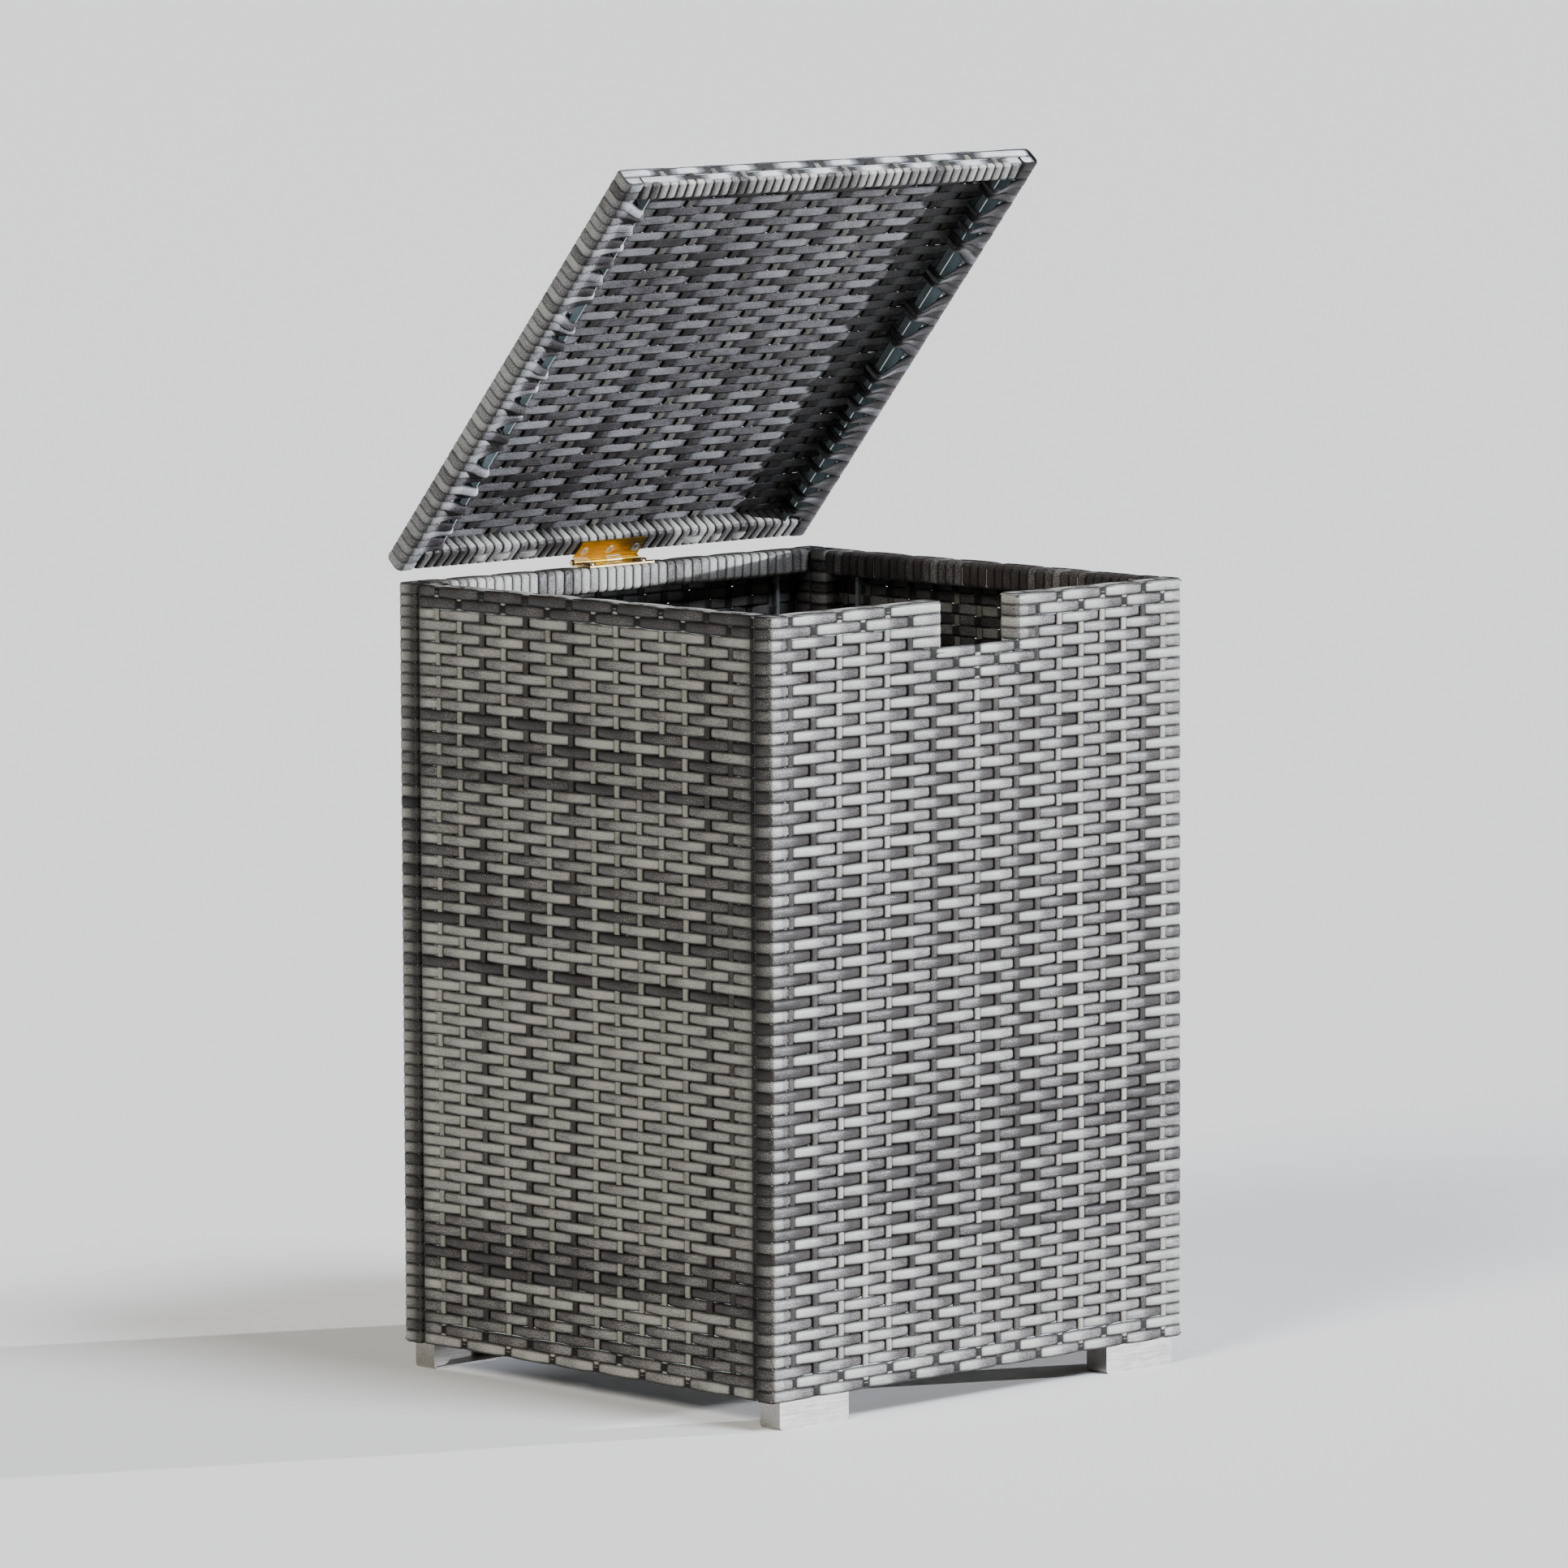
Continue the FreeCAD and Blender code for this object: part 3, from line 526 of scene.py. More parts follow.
# the strand's dye, with painted light and shade on its ends and slopes
def brickDyeAndShade(wall, row, line, up):
    along, out = line.T
    darkness = courseDye(wall, wallForm["rows"] - 1 - row, along)
    # painted shade on the course's end, where it wraps round the left rail
    wound = (out < -wallForm["woundDeep"]) * (along < wallForm["rail"])
    darkness = darkness + wallForm["endFaceShade"] * wound
    # points of an upright stretch are kept apart, so that its slope can be told
    climb = np.gradient(up, along + 1e-4 * np.arange(len(along)))
    # painted light and shade on the brick's slopes
    paintedSlopeLight = wall["paintedSlopeShade"] * np.clip(wallForm["steep"] * climb, -1, 1)
    return np.clip(darkness - paintedSlopeLight * np.where(paintedSlopeLight < 0, wallForm["downSlopeShade"], 1), 0, 1)


def paintedJointShade(name, line):
    # painted shade where two panels meet: on the side panels' edges, and on the faces of the other
    # two behind them
    edge = np.minimum(line[:, 0], walls[name]["width"] - line[:, 0])
    if name in ("left", "right"):
        share, reach = wallForm["sideJoint"]
        return share * np.clip((reach - edge) / 2, 0, 1)
    share, reach, deep = wallForm["faceJoint"]
    return share * (line[:, 1] < -deep) * (edge < reach)


def weaveWall(name):
    wall = walls[name]
    width, rail, rows = wall["width"], wallForm["rail"], wallForm["rows"]
    low, high, sill = wallForm["low"], wallForm["high"], wallForm["sill"]
    pitch = (high - low) / rows
    notched = name == "front"
    jambs = (width / 2 - wallForm["notch"], width / 2 + wallForm["notch"])
    strands = []

    def onRail(height):
        return height < low + rail or height > high - rail

    def dipHere(height):
        def dip(s):
            atNotch = notched and height > sill - rail and jambs[0] - rail < s < jambs[1] + rail
            if onRail(height) or atNotch:
                return strandForm["railDip"]
            besidePost = min(s, width - s) < wallForm["postReach"] * rail
            return strandForm["postDip" if besidePost else "dip"]
        return dip

    def addCourse(row, start, end, seat, height, wound):
        clear = wallForm["stakeClear"]
        stakes = {k: s for k, s in enumerate(stakesAt(wall, "wall", height))
                  if start + clear < s < end - clear}
        over = (row + min(stakes)) % 2 == 0
        line, up = courseLine(start, end, list(stakes.values()), over, strandForm,
                              dipHere(height), rail, wound)
        sag = sway(wallForm["sag"], row, line[:, 0])
        wide = max(wall["wide"], wallForm["capWide"]) if onRail(height) else wall["wide"]
        # closer together round an upright edge, but for the top and the bottom course
        tight = wallForm["edgeWide"] if low + pitch < height < high - pitch else wide
        edge = np.minimum(line[:, 0] - start, end - line[:, 0])
        wide = wide + (tight - wide) * np.clip((wallForm["edgeReach"] - edge) / 2, 0, 1)
        strand = layCourse(line, up, seat, brickDyeAndShade(wall, row, line, up), wide,
                           strandForm["thick"], row, sag)
        if wound:
            # painted shade in the joint between panels
            strand["paintedShade"] = np.maximum(strand["paintedShade"], paintedJointShade(name, line))
        strands.append(strand)

    def capSeat(edge, upward, face, deep):
        # on a rail's edge, or on its inner side
        if face == "edge":
            return (0, edge, -deep), (0, 0, -upward), (0, upward, 0)
        return (0, edge - upward * deep, -rail), (0, -1, 0), (0, 0, -1)

    for row in range(rows):
        height = low + (row + 0.5) * pitch
        spans = [(0.0, width)]
        if notched and height > sill:
            spans = [(0.0, jambs[0]), (jambs[1], width)]
        for start, end in spans:
            addCourse(row, start, end, ((0, height, 0), (0, 1, 0), (0, 0, 1)), height, True)
    # the courses go on over the top rail and under the bottom rail, two on each face
    caps = [(step, deep, edge, upward, face)
            for step, deep in enumerate((rail / 4, 3 * rail / 4))
            for edge, upward in ((high, 1), (low, -1)) for face in ("edge", "inner")]
    sills = []
    for step, deep, edge, upward, face in caps:
        if upward > 0 and face in wall["wound"]:
            continue
        number = step + (2 if face == "inner" else 0)
        inset = rail if face == "inner" else 0.0
        start = inset or wallForm["capEnd"]
        spans = [(start, width - start)]
        if notched and upward > 0:
            spans = [(start, jambs[0] - inset), (jambs[1] + inset, width - start)]
        for a, b in spans:
            addCourse(rows + number if upward > 0 else -1 - number, a, b,
                      capSeat(edge, upward, face, deep), high, False)
        if notched and upward > 0:
            sills.append((number, capSeat(sill, 1, face, deep)))
    for number, seat in sills:
        addCourse(number, jambs[0] - wallForm["sillEnd"], jambs[1] + wallForm["sillEnd"], seat,
                  sill, False)
    courses = makeStrands(f"{name}_courses", strands, wall["axes"], courseMaterial, "box")
    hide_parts(f"{name}_woven_sheet", f"{name}_rim_wrap")

    skin = stakeForm["skin"] + stakeForm["wall"]["thick"] / 2
    hook = [(rail - skin, -wallForm["hookEnd"]), (rail - skin, -rail + skin),
            (skin, -rail + skin), (skin, -skin)]
    stakes = []
    for k, s in enumerate(wall["stakes"]):
        short = notched and jambs[0] - wallForm["jamb"] < s < jambs[1] + wallForm["jamb"]
        stakes.append(layStake(wall, "wall", k, low, sill if short else high, pitch, hook))
    makeStrands(f"{name}_stakes", stakes, wall["axes"], stakeMaterial, "box")


for wallName in walls:
    weaveWall(wallName)
print("walls woven")


hingeLine = (0.0, 186.8, 555.5)  # pin axis
lidAngle = math.radians(-49.3)  # open as photographed, about the pin
lid = {
    "width": 395.0, "depth": 365.0, "rows": 49, "rail": 16.4, "thick": 1.5, "seed": 5.0,
    "topAboveAxis": 18.9, "edgeFromAxis": 4.3, "cornerRadius": 4.5,
    "dip": 1.5, "sag": (55, 0.3),
    "showing": 8.6, "passing": 8.5,  # strand over or under a stake, and between the two
    # wider beside the side rails: how much, within what, over what length
    "beside": (0.4, 46, 10),
    "paintedShade": (0.8, 1.6, 0.5),  # painted shade beside a stake: the most, how fast, from where
    "climb": [(0.0, 0.0), (0.3, 0.05), (0.56, 0.17), (0.7, 0.42), (0.79, 0.75), (0.88, 0.97)],
    "stakes": [38.9 + 24.4 * i for i in range(14)],
    "darkStakes": {1, 4, 5, 8, 11},
    "hookEnd": (2.2, 1.2), "hookFoot": 1.9,
    "runs": [(0, 8, 0, 0.55, 0.35), (0, 8, 1, 0.75, 0.6), (9, 20, 0, 0.3, 0.45),
             (9, 24, 1, 0.7, 0.5), (21, 34, 0, 0.4, 0.3), (25, 40, 1, 0.5, 0.75),
             (35, 48, 0, 0.35, 0.5), (41, 48, 1, 0.7, 0.6)],
    "patches": [(120, 12, 0.2, 60, 3.0), (260, 26, 0.2, 90, 3.0), (90, 40, 0.2, 70, 3.0)],
    # painted light within this of the left edge; painted shade within this of the right one, below
    # the top
    "leftPaintedLight": (-0.2, 15), "rightPaintedShade": (0.3, 31, 4),
    # two courses on the edge's face: first one's middle, step, width, end, share of the dye
    "faces": (3.8, 7.4, 7.9, 0.6, 0.4),
    # where the courses bunch on a side rail's flat bar
    "leftBunches": [31, 42, 56, 71, 89, 101, 137, 153, 179, 189, 214, 241, 275, 291, 310, 326,
                    340],
    "rightBunches": [28, 51, 65, 75, 112, 146, 170, 208, 222, 236, 250, 260, 268, 283, 298,
                     313, 325, 338],
    "barFromEdge": 29.0,  # the flat bar that the courses run over to
    # tube faces and flat bar seen between the bunches: from, to across the rail; low, high
    "tubeFaces": [(1.4, 15.0, -15.0, -14.2), (14.2, 15.0, -15.0, -8.0)],
    "bar": (28.4, 29.6, -15.2, -9.6),
    "flatIn": 1.4, "flatBevel": 0.2,  # how far the flats run into the rails, and their edges
}
gather = {
    # a course's end on a side rail of the lid
    "below": 0.4, "out": 1.1, "lean": 0.7,  # proud of the tube below and at the side
    "landing": 0.6,  # flat on the top from here on, as a share of the rail
    "radii": (4.0, 4.6, 3.6), "cornerRadii": (3.0, 4.4, 3.6),
    "cornerTop": (1.0, 9.0),  # where a course at a corner ends inside the rail
    "barClear": 0.9, "barTop": 5.0,
    "layers": (0.0, 0.9, 1.7), "every": 7.4,  # how far the courses of a bunch lie apart
    "spacing": 3.0,
    "from": 4.0, "until": 2.0, "edge": 2.6,  # pushed aside from here on, and most at the bar
    "pull": 0.72, "uneven": 0.8,
    "slack": 0.9, "slackFrom": 8.0,  # between the tube and the bar
    "tilt": 0.42, "narrow": 0.12,  # like shingles, and drawn narrower
    "darkness": 0.12, "dyeSwing": 0.42, "dyeRate": 2.1,
}


def lidAxes():
    # along the hinge, towards it, and up out of the closed lid
    turn = np.eye(4)
    c, s = math.cos(lidAngle), math.sin(lidAngle)
    turn[1:3, 1:3] = ((c, -s), (s, c))
    turn[:3, 3] = hingeLine
    corner = (-lid["width"] / 2, -lid["edgeFromAxis"] - lid["depth"], lid["topAboveAxis"])
    return turn @ axes(corner, (1, 0, 0), (0, 0, 1))


def spread(line, step):
    # the same line, its points no further apart than the step
    out = [line[0]]
    for a, b in zip(line, line[1:]):
        parts = max(1, math.ceil(np.linalg.norm(b - a) / step))
        out += [a + (b - a) * q / parts for q in range(1, parts + 1)]
    return np.array(out)


def sideLoop(t, bunches, side):
    # One course's end: over the flat bar in a bunch, under the side rail's tube, up its face.
    # Returns the line, how far it is pushed along the rail and how much it is drawn in.
    rail, half = lid["rail"], lid["thick"] / 2
    low, wall = -rail + half - gather["below"], half - gather["out"]
    ending = [(wall, low), (wall + gather["lean"], -half), (gather["landing"] * rail, -half)]
    if t < rail or t > lid["depth"] - rail:
        inner, top = gather["cornerTop"]
        start = [(rail - inner, -top), (rail - inner, low + gather["below"])]
        line = roundedLine(start + ending, gather["cornerRadii"])
        share = shift = np.zeros(len(line))
    else:
        bar = lid["barFromEdge"] + gather["barClear"]
        nearest = min(bunches, key=lambda b: abs(b - t))
        layer = gather["layers"][round((t - nearest) / gather["every"]) % 3]
        start = [(bar + layer, -gather["barTop"]), (bar + layer, low - layer)]
        line = spread(roundedLine(start + ending, gather["radii"]), gather["spacing"])
        # pushed aside most at the bar, not at all once round the rail's lower edge
        reach = bar - gather["from"] - gather["until"]
        share = np.clip((line[:, 0] - gather["from"]) / reach, 0, 1)
        share[int(np.argmax(line[:, 0] < gather["edge"])):] = 0
        share = share ** 2 * (3 - 2 * share)
        shift = ((nearest - t) * gather["pull"] + wander(t, 3, gather["uneven"])) * share
        slack = gather["slack"] * (line[:, 0] > gather["slackFrom"])
        line[:, 1] += slack * np.sin(math.pi * share)
    if side > 0:
        # the same, mirrored, and run the other way
        line = np.column_stack([lid["width"] - line[::-1, 0], line[::-1, 1]])
        share, shift = share[::-1], shift[::-1]
    return line, shift, share


def roundCorners(strands, radius):
    # draw what lies in the four corners in to an upright cylinder
    middle = np.array((lid["width"], lid["depth"])) / 2
    for strand in strands:
        points = strand["points"]
        far = points[:, :2] - middle
        out = np.abs(far) - (middle - radius)
        there = np.all(out > 0, axis=1)
        out = out[there] * (np.max(out[there], axis=1) / np.hypot(*out[there].T))[:, None]
        points[there, :2] = middle + np.sign(far[there]) * (middle - radius + out)
    return strands


def lidCourse(row):
    width, rail, thick = lid["width"], lid["rail"], lid["thick"]
    t = (row + 0.5) * (lid["depth"] / lid["rows"])
    dip = strandForm["railDip"] if t < rail or t > lid["depth"] - rail else lid["dip"]
    landing = courseEnd["landing"] * rail
    line, up = courseLine(landing, width - landing, stakesAt(lid, "lid", t), row % 2 == 0, lid,
                          lambda s: dip, rail, False)
    # a loop round the side rail takes the place of each cut end
    line, up = line[2:-2], up[2:-2]
    left, leftShift, leftIn = sideLoop(t, lid["leftBunches"], -1)
    right, rightShift, rightIn = sideLoop(t, lid["rightBunches"], 1)
    whole = np.concatenate([left, line, right])
    shift = np.concatenate([leftShift, sway(lid["sag"], row, line[:, 0]), rightShift])
    drawnIn = np.concatenate([leftIn, np.zeros(len(line)), rightIn])
    across, high = whole.T
    # on a side rail the courses overlap like shingles
    tilt = gather["tilt"] * drawnIn * np.where(across < width / 2, -1, 1)
    tangent = directions(np.column_stack([whole, shift]))
    crown = np.column_stack([-tangent[:, 1], tilt, tangent[:, 0]])
    # widest where it shows on either side, narrow where it goes past a stake
    between = np.pad(np.abs(2 * up - 1), (len(left), len(right)), constant_values=0.5)
    wide = lid["passing"] + (lid["showing"] - lid["passing"]) * between
    wide = wide * (1 - gather["narrow"] * drawnIn)
    more, reach, over = lid["beside"]
    edge = np.minimum(across, width - across)
    wide = wide + more * np.clip((reach - edge) / over, 0, 1) * (1 - drawnIn)
    swing = gather["darkness"] + gather["dyeSwing"] * math.sin(row * gather["dyeRate"])
    # painted light by the left rail and painted shade by the right one
    leftPaintedLight, leftReach = lid["leftPaintedLight"]
    rightPaintedShade, rightReach, rightDeep = lid["rightPaintedShade"]
    nearRight = (across > width - rightReach) * (high < -rightDeep)
    darkness = courseDye(lid, row, across) + drawnIn * swing + leftPaintedLight * (across < leftReach)
    strand = strandAlong(
        np.column_stack([across, t + shift, high]), crown,
        np.clip(darkness + rightPaintedShade * nearRight, 0, 1), wide, thick, row * patternStep["course"])
    # painted shade where the course passes a stake
    most, rate, begin = lid["paintedShade"]
    strand["paintedShade"] = most * np.clip(rate * (1 - between) - begin, 0, 1)
    return strand


def weaveLid():
    width, depth, rail, rows = lid["width"], lid["depth"], lid["rail"], lid["rows"]
    strands = [lidCourse(row) for row in range(rows)]
    # two courses on the free edge's face and two on the hinge edge's
    middle, step, wide, end, share = lid["faces"]
    for number in (0, 1):
        low = -(middle + step * number)
        for row, seat in ((-1 - number, ((0, 0, low), (0, 0, 1), (0, -1, 0))),
                          (rows + number, ((0, depth, low), (0, 0, -1), (0, 1, 0)))):
            line, up = courseLine(end, width - end, lid["stakes"], row % 2 == 0, lid,
                                  lambda s: strandForm["railDip"], rail, False)
            darkness = share * courseDye(lid, row, line[:, 0])
            strands.append(layCourse(line, up, seat, darkness, wide, lid["thick"], row))
    strands = roundCorners(strands, lid["cornerRadius"])
    courses = makeStrands("lid_courses", strands, lidAxes(), paintedLightLidMaterial, "lid")
    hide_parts("lid_woven_sheet", "lid_left_rail_wrap", "lid_right_rail_wrap")
    skin = stakeForm["skin"] + stakeForm["lid"]["thick"] / 2
    end, rise = lid["hookEnd"]
    hook = [(end, -rail + rise), (skin, -rail + lid["hookFoot"]), (skin, -skin)]
    stakes = [layStake(lid, "lid", k, 0.0, depth, depth / rows, hook)
              for k in range(len(lid["stakes"]))]
    makeStrands("lid_stakes", stakes, lidAxes(), stakeMaterial, "lid")


turnForm = {
    "pitch": 8.2, "uneven": 0.3,
    # tone waves from turn to turn: size, rate, phase
    "wall": {"seed": 4, "overlap": 1.15, "slant": 1.6, "waves": [(0.25, 0.45, 1), (0.15, 2.1, 0)],
             "thick": strandForm["thick"]},
    # proud: below the rail, but not where the closed lid rests; lag: how far a turn's inner
    # side stands back; under: painted shade on the underside
    "hinge": {"seed": 2, "overlap": 1.12, "slant": -2.0, "waves": [(0.3, 0.55, 0), (0.15, 1.9, 0)],
              "thick": lid["thick"], "proud": 0.3, "lag": -3.0, "under": 0.6},
    "free": {"seed": 2, "overlap": 1.12, "slant": 3.6, "waves": [(0.3, 0.55, 2), (0.15, 1.9, 0)],
             "thick": lid["thick"], "proud": -0.05, "lag": 0.0, "under": 0.25},
    "lidTone": 0.05,
    # a turn's path round a lid's rail: start, lip, how far inside, end; painted shade near its
    # foot
    "lidPath": {"from": 1.0, "lip": 2.5, "inside": 0.4, "until": -2.8, "radii": (1.2, 3.8),
                "foot": 3, "lagOver": (2, 5)},
    # and round a wall's rail: ends on its inner side, on its outer side or on its top
    "wallPath": {"inner": -4.2, "outer": -1.8, "top": 3.0, "radii": (3.0, 3.0)},
    # short lengths that cross over the hinge rail's turns: from, to; profile and look
    "lengths": [(69, 77), (86, 101), (110, 127), (269, 286), (298, 303), (318, 327)],
    "lengthProud": [0.6, -0.2, -1.1, -1.15, -1.1, -0.2, 0.6],
    "lengthEnd": 5, "lengthIn": 7.0, "lengthWide": 8.4, "lengthThick": 1.1,
    "lengthDye": (0.12, 0.1),
}


def windTurns(kind, width, rail, line, facing, drift, tone):
    # Turns round a rail. line: one turn's path; drift: how far along the rail its points
    # stand; facing: 1 or -1, the side of the path that is out.
    form = turnForm[kind]
    count = round((width - 2 * rail) / turnForm["pitch"])
    gap = (width - 2 * rail) / count
    crown = facing * np.column_stack([np.zeros(len(line)), planeNormals(line)])
    turns = []
    for number in range(count):
        along = rail + (number + 0.5) * gap + wander(number, form["seed"], turnForm["uneven"])
        shade = tone + sum(size * math.sin(number * rate + phase)
                           for size, rate, phase in form["waves"])
        turns.append(strandAlong(
            np.column_stack([along + drift, line]), crown, np.clip(shade, 0, 1),
            gap * form["overlap"], form["thick"], number * patternStep["turn"]))
    return turns


def windLidRail(zone):
    # under side and inner side of the hinge rail or the free rail
    form = turnForm[zone]
    depth, rail, half = lid["depth"], lid["rail"], lid["thick"] / 2
    path = turnForm["lidPath"]
    inner, low, near = rail - half + path["inside"], -rail + half - form["proud"], path["from"]
    line = roundedLine([(near, low + path["lip"]), (near, low), (inner, low),
                        (inner, path["until"])], path["radii"], 5)
    if zone == "hinge":
        line = np.column_stack([depth - line[::-1, 0], line[::-1, 1]])
    share = (line[:, 0] - line[0, 0]) / (line[-1, 0] - line[0, 0])
    drift = form["slant"] * (share - 0.5)
    foot, over = path["lagOver"]
    drift = drift + form["lag"] * np.clip((line[:, 1] + rail - foot) / (rail - over), 0, 1)
    # painted shade on the turns' underside
    tone = turnForm["lidTone"] + form["under"] * (line[:, 1] < -rail + path["foot"])
    turns = windTurns(zone, lid["width"], rail, line, -1, drift, tone)
    if zone == "hinge":
        proud = np.array(turnForm["lengthProud"])
        n, end = len(proud), turnForm["lengthEnd"]
        plain, more = turnForm["lengthDye"]
        for number, (first, last) in enumerate(turnForm["lengths"]):
            points = np.column_stack([
                np.linspace(first - end, last + end, n),
                np.full(n, depth - turnForm["lengthIn"]), -rail + half + proud])
            turns.append(strandAlong(
                points, (0, 0, -1), plain + more * (number % 3), turnForm["lengthWide"],
                turnForm["lengthThick"], number * patternStep["length"]))
    piece = makeStrands(f"lid_{zone}_rail_coils", turns, lidAxes(), courseMaterial, "lid")
    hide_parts(f"lid_{zone}_rail_wrap")


def windWallRail(name):
    # round a wall's top rail, and over its top where no courses lie on it
    wall, path = walls[name], turnForm["wallPath"]
    rail, high, half = wallForm["rail"], wallForm["high"], strandForm["thick"] / 2
    corners = [(high - rail + half, -rail + half), (high - rail + half, path["inner"])]
    if "edge" in wall["wound"]:
        corners = [(high - half, path["outer"]), (high - half, -rail + half)] + corners
    else:
        corners = [(high - path["top"], -rail + half)] + corners
    line = roundedLine(corners, path["radii"], 5)
    drift = turnForm["wall"]["slant"] * (np.linspace(0, 1, len(line)) - 0.5)
    # on the side walls the turns' tone holds painted shade
    turns = windTurns("wall", wall["width"], rail, line, 1, drift, wall["railDyeAndShade"])
    makeStrands(f"{name}_top_rail_coils", turns, wall["axes"], courseMaterial, "box")


weaveLid()
for zone in ("hinge", "free"):
    windLidRail(zone)
print("lid woven")
for wallName in ("back", "left", "right"):
    windWallRail(wallName)
print("rails wound")


brushed = {
    "lines": (4.0, 0.6), "stains": {"Scale": 70.0, "Detail": 3.0}, "stained": 0.6,
    "darkest": 0.45, "palest": 1.05, "gloss": (-0.08, 0.12), "bump": (0.25, 0.0002),
}


def brushedMetal(name, light, dark, roughness, scale, metallic=1.0):
    # sheet metal, brushed along its length: fine lines, a few dull stains
    material, tree, shader = newMaterial(name)
    place = addNode(tree, "ShaderNodeTexCoord").outputs["Object"]
    grain = addNoise(tree, place, scale, *brushed["lines"])
    stains = addNode(tree, "ShaderNodeTexNoise", {"Vector": place, **brushed["stains"]}).outputs[0]
    both = addMath(tree, "MULTIPLY_ADD", stains, brushed["stained"], grain)
    colour = addRamp(tree, both, [(brushed["darkest"], dark), (brushed["palest"], light)])
    tree.links.new(colour, shader.inputs["Base Color"])
    gloss = addRange(tree, stains, *(roughness + more for more in brushed["gloss"]))
    tree.links.new(gloss, shader.inputs["Roughness"])
    shader.inputs["Metallic"].default_value = metallic
    addBump(tree, shader, grain, *brushed["bump"])
    return material


metals = {
    # name, palest and darkest colour, roughness, lines in a metre, and how metallic if not all
    # zinc plated, then dipped, so its gold drifts to orange and green
    "upperLeaf": ("yellowPassivatedSteel", "#D3AC3C", "#7E5A14", 0.34, (60, 900, 900)),
    # the same finish, painted paler as a highlight, on the lower leaf and the pin
    "lowerLeaf": ("yellowPassivatedSteelPaintedHighlight", "#E6CF98", "#A88A50", 0.3, (60, 900, 900)),
    "wideScrew": ("bronzedSteel", "#BFA88E", "#6A5240", 0.26, (400, 400, 400)),
    "leafScrew": ("nickelPlatedSteel", "#F0EEE8", "#B4AEA6", 0.38, (400, 400, 400)),
    "foot": ("brushedStainlessSteel", "#BDBAB5", "#8A857E", 0.38, (40, 900, 900)),
    "frame": ("powderCoatedSteel", "#B4C2C6", "#8D9B9F", 0.42, (500, 500, 500), 0.0),
    "rod": ("galvanisedRod", "#A9B6B8", "#7C898C", 0.42, (500, 500, 500), 0.6),
}
metalOf = {part: brushedMetal(*look) for part, look in metals.items()}
# a frame node's metal, by the first of these words in its name
nodeMetals = {"_frame": "frame", "_rods": "rod", "foot_": "foot", "hinge_upper": "upperLeaf",
              "hinge_": "lowerLeaf"}
for name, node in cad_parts.items():
    part = next((part for word, part in nodeMetals.items()
                 if name.endswith(word) or name.startswith(word)), None)
    if part:
        node.data.materials.clear()
        node.data.materials.append(metalOf[part])
print("metal dressed")


def inEdit(step, **form):
    # one step on the active mesh
    bpy.ops.object.mode_set(mode="EDIT")
    step(**form)
    bpy.ops.object.mode_set(mode="OBJECT")


def paintedFlats(name, sections, side):
    # flat steel along a side rail of the lid, one length for each section
    start, end = lid["rail"] - lid["flatIn"], lid["depth"] - lid["rail"] + lid["flatIn"]
    lengths = []
    for near, far, low, high in sections:
        if side > 0:
            near, far = lid["width"] - far, lid["width"] - near
        box = np.array([(near, start, low), (far, end, high)]) * mm
        bpy.ops.mesh.primitive_cube_add(size=1, location=box.mean(axis=0), scale=box[1] - box[0])
        inEdit(bpy.ops.mesh.bevel, offset=lid["flatBevel"] * mm, segments=2)
        lengths.append(bpy.context.object)
    for piece in lengths:
        piece.select_set(True)
    bpy.context.view_layer.objects.active = lengths[0]
    if len(lengths) > 1:
        bpy.ops.object.join()
    piece = bpy.context.object
    piece.name = name
    bpy.ops.object.transform_apply()
    place = lidAxes()
    place[:3, 3] *= mm
    piece.data.transform(Matrix(place.tolist()))
    piece.data.materials.append(metalOf["frame"])
    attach(piece, "lid")


for side, zone in ((-1, "left"), (1, "right")):
    paintedFlats(f"lid_{zone}_tube_faces", lid["tubeFaces"], side)
    paintedFlats(f"lid_{zone}_flat_bar", [lid["bar"]], side)


hardware = {
    # cross-head screws: places from the hinge's middle; turns: the driver's on the first one,
    # and how much more on each further one
    "leafScrew": {"wide": 7.4, "high": 1.1, "round": 0.5, "cross": 3.6, "slot": 1.0, "deep": 0.6,
                  "places": (-24.7, 0.0, 24.7), "turns": (0.4, 0.9)},
    "wideScrew": {"wide": 10.8, "high": 2.0, "round": 1.2, "cross": 4.8, "slot": 1.2, "deep": 1.0,
                  "places": (-24.7, 24.7), "turns": (0.2, 0.5)},
    "screwRow": 9.5,  # from the pin, on both leaves
    "leafSeat": 2.1,  # the upper leaf's face above the pin's middle, lid closed
    "boxSeat": 554.1,  # the lower leaf's face
}


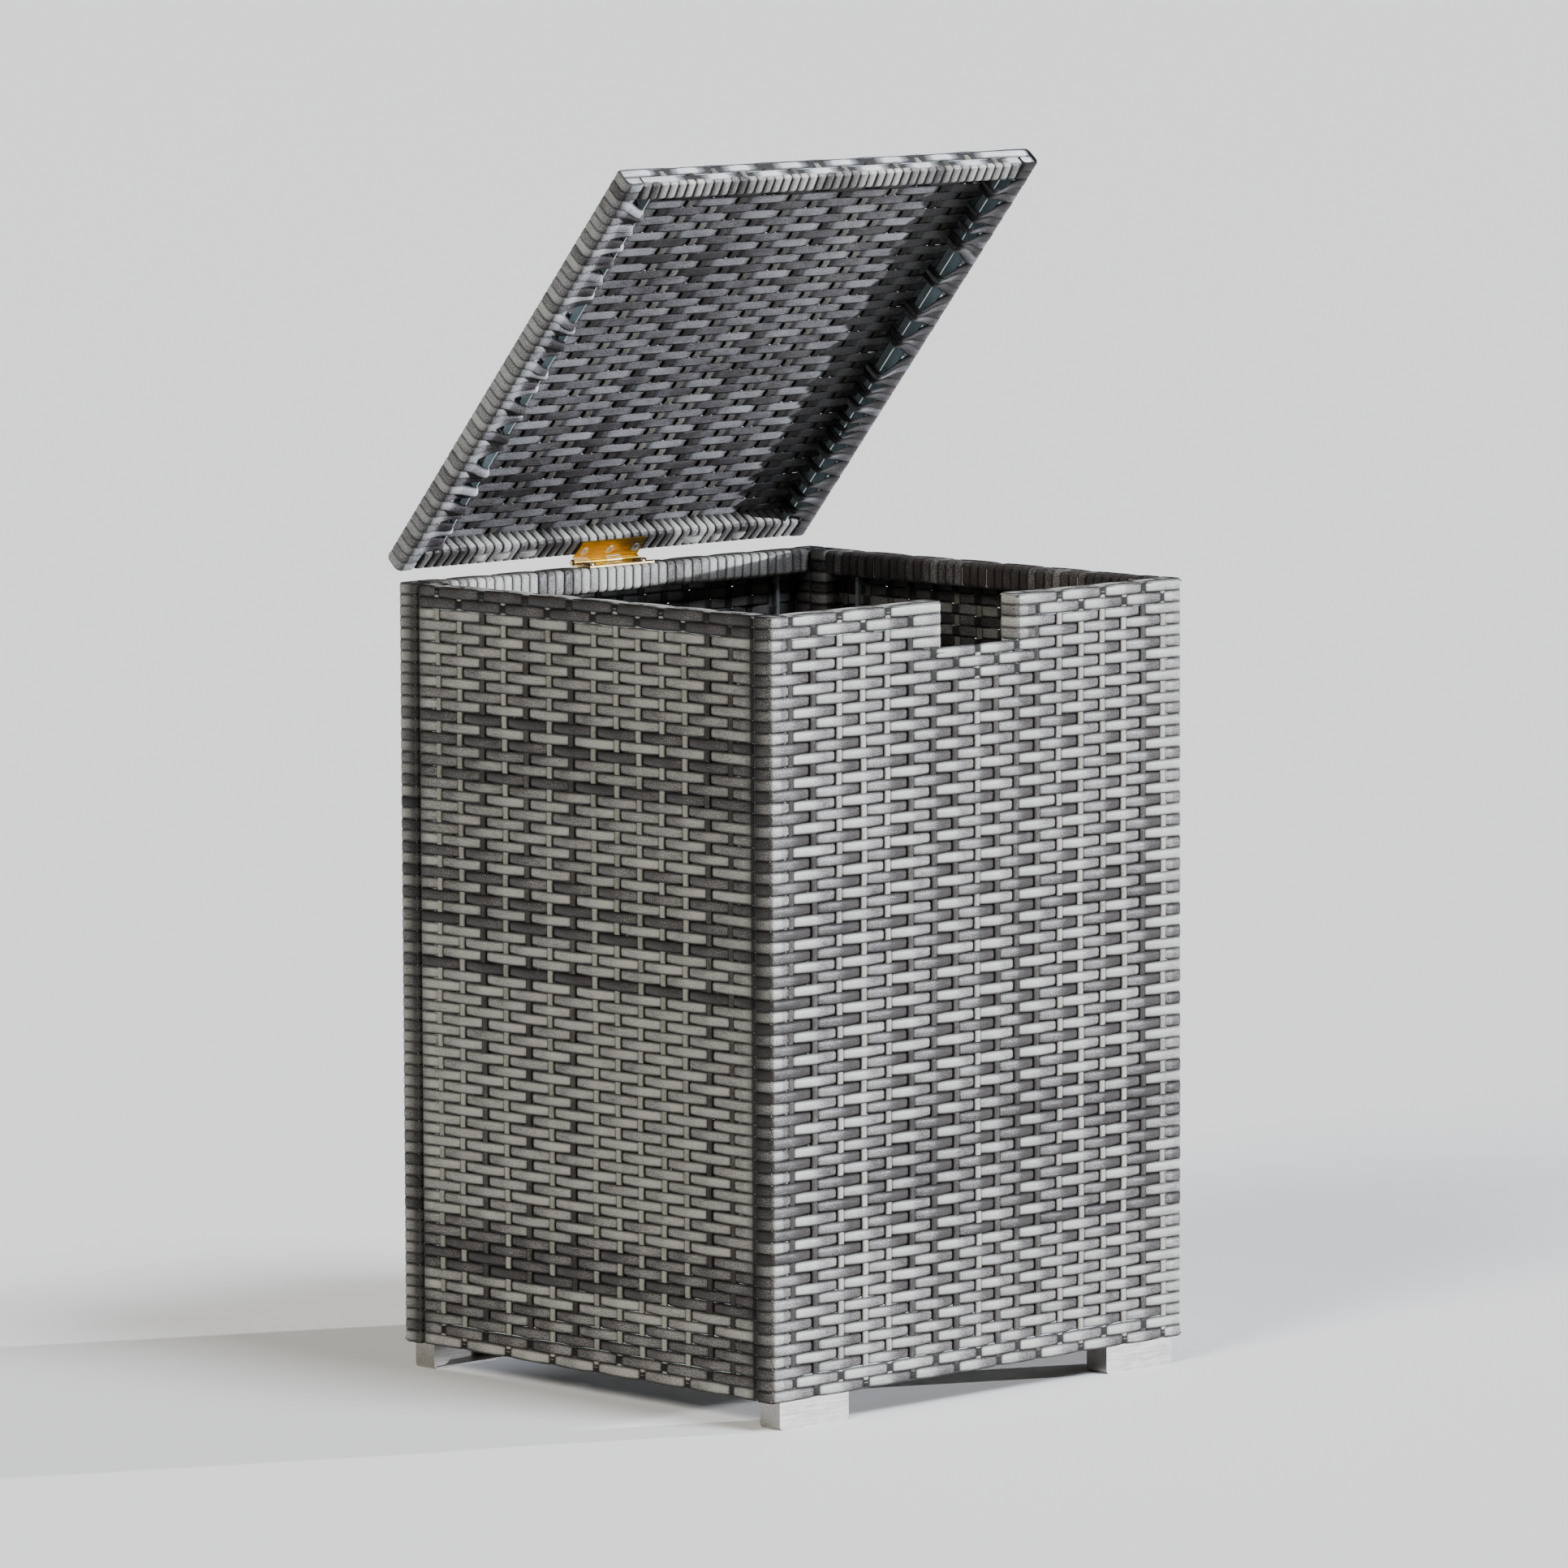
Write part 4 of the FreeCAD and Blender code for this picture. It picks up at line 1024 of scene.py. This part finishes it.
def crossHeadScrew(name, form, material):
    # a turned head with a cross-shaped recess, its seat at the origin
    high = form["high"] * mm
    bpy.ops.mesh.primitive_cylinder_add(
        vertices=28, radius=form["wide"] / 2 * mm, depth=high, location=(0, 0, high / 2))
    head = bpy.context.object
    head.name = name
    inEdit(bpy.ops.mesh.select_all, action="DESELECT")
    for edge in head.data.edges:
        edge.select = all(head.data.vertices[v].co.z > 0 for v in edge.vertices)
    inEdit(bpy.ops.mesh.bevel, offset=form["round"] * mm, segments=4, profile=0.6)
    for turn in (0, math.pi / 2):
        size = (form["cross"] * mm, form["slot"] * mm, 2 * form["deep"] * mm)
        bpy.ops.mesh.primitive_cube_add(
            size=1, location=(0, 0, high), rotation=(0, 0, turn), scale=size)
        cutter = bpy.context.object
        head.select_set(True)
        bpy.context.view_layer.objects.active = head
        recess = head.modifiers.new("recess", "BOOLEAN")
        recess.operation = "DIFFERENCE"
        recess.object = cutter
        bpy.ops.object.modifier_apply(modifier="recess")
        bpy.data.objects.remove(cutter)
    bpy.ops.object.transform_apply()
    bpy.ops.object.shade_smooth_by_angle(angle=math.radians(35))
    head.data.materials.append(material)
    return head


def fitScrews(kind, pieceName, origin, turn, seat, facing, body):
    # a row along the hinge, each head turned as the driver left it
    form = hardware[kind]
    first, more = form["turns"]
    for number, along in enumerate(form["places"]):
        head = crossHeadScrew(f"{pieceName}_{number + 1}", form, metalOf[kind])
        spot = Vector(origin) + turn @ Vector((along, -hardware["screwRow"], seat))
        out = (turn @ Vector((0, 0, facing))).to_track_quat("Z", "Y").to_matrix().to_4x4()
        spin = Matrix.Rotation(first + more * number, 4, "Z")
        head.data.transform(Matrix.Translation(spot * mm) @ out @ spin)
        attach(head, body)


fitScrews("leafScrew", "hinge_leaf_screw", hingeLine, Matrix.Rotation(lidAngle, 3, "X"),
          hardware["leafSeat"], -1, "lid")
fitScrews("wideScrew", "hinge_wide_screw", (0, hingeLine[1], 0), Matrix.Identity(3),
          hardware["boxSeat"], 1, "box")
print("screws fitted")


studio = {
    "floor": 140.0, "floorColour": "#E6E6E6", "floorRoughness": 0.9,
    "sky": "#FFF8E8", "skyPower": 0.11,
    # suns: toward the sun, power, disc in degrees, colour, seen in gloss, lights what is matte
    "lights": {
        "key": ((0.15, -0.56, 0.815), 3.7, 20, "#EEF4FF", True, True),
        # grazes the lid's underside, past its rails
        "low": ((0.885, -0.44, 0.085), 15.0, 1.2, "#F7F8FF", False, True),
        # a bright window that shines back from the left-hand half of each brick
        "window": ((0.57, -0.81, 0.08), 2.8, 9, "#EEF4FF", True, False),
        "side": ((-0.80, -0.20, 0.56), 3.0, 20, "#FFFBF0", False, True),
    },
}
bpy.ops.mesh.primitive_plane_add(size=studio["floor"], location=(0, 0, 0))
floor = bpy.context.object
floor.name = "studioFloor"
floorMaterial, _, floorShader = newMaterial("mattePaperFloor")
floorShader.inputs["Base Color"].default_value = rgb(studio["floorColour"])
floorShader.inputs["Roughness"].default_value = studio["floorRoughness"]
floor.data.materials.append(floorMaterial)
floor.visible_diffuse = False  # the pale floor doesn't light the underside of the lid

world = bpy.data.worlds.new("studio")
scene.world = world
world.use_nodes = True
background = world.node_tree.nodes["Background"]
background.inputs["Color"].default_value = rgb(studio["sky"])
background.inputs["Strength"].default_value = studio["skyPower"]

for name, (toward, power, disc, colour, inGloss, onMatte) in studio["lights"].items():
    data = bpy.data.lights.new(name, "SUN")
    data.energy = power
    data.angle = math.radians(disc)
    data.color = rgb(colour)[:3]
    lamp = bpy.data.objects.new(name, data)
    lamp.visible_glossy = inGloss
    lamp.visible_diffuse = onMatte
    lamp.rotation_euler = Vector(toward).to_track_quat("Z", "Y").to_euler()
    scene.collection.objects.link(lamp)
print("light and floor set")
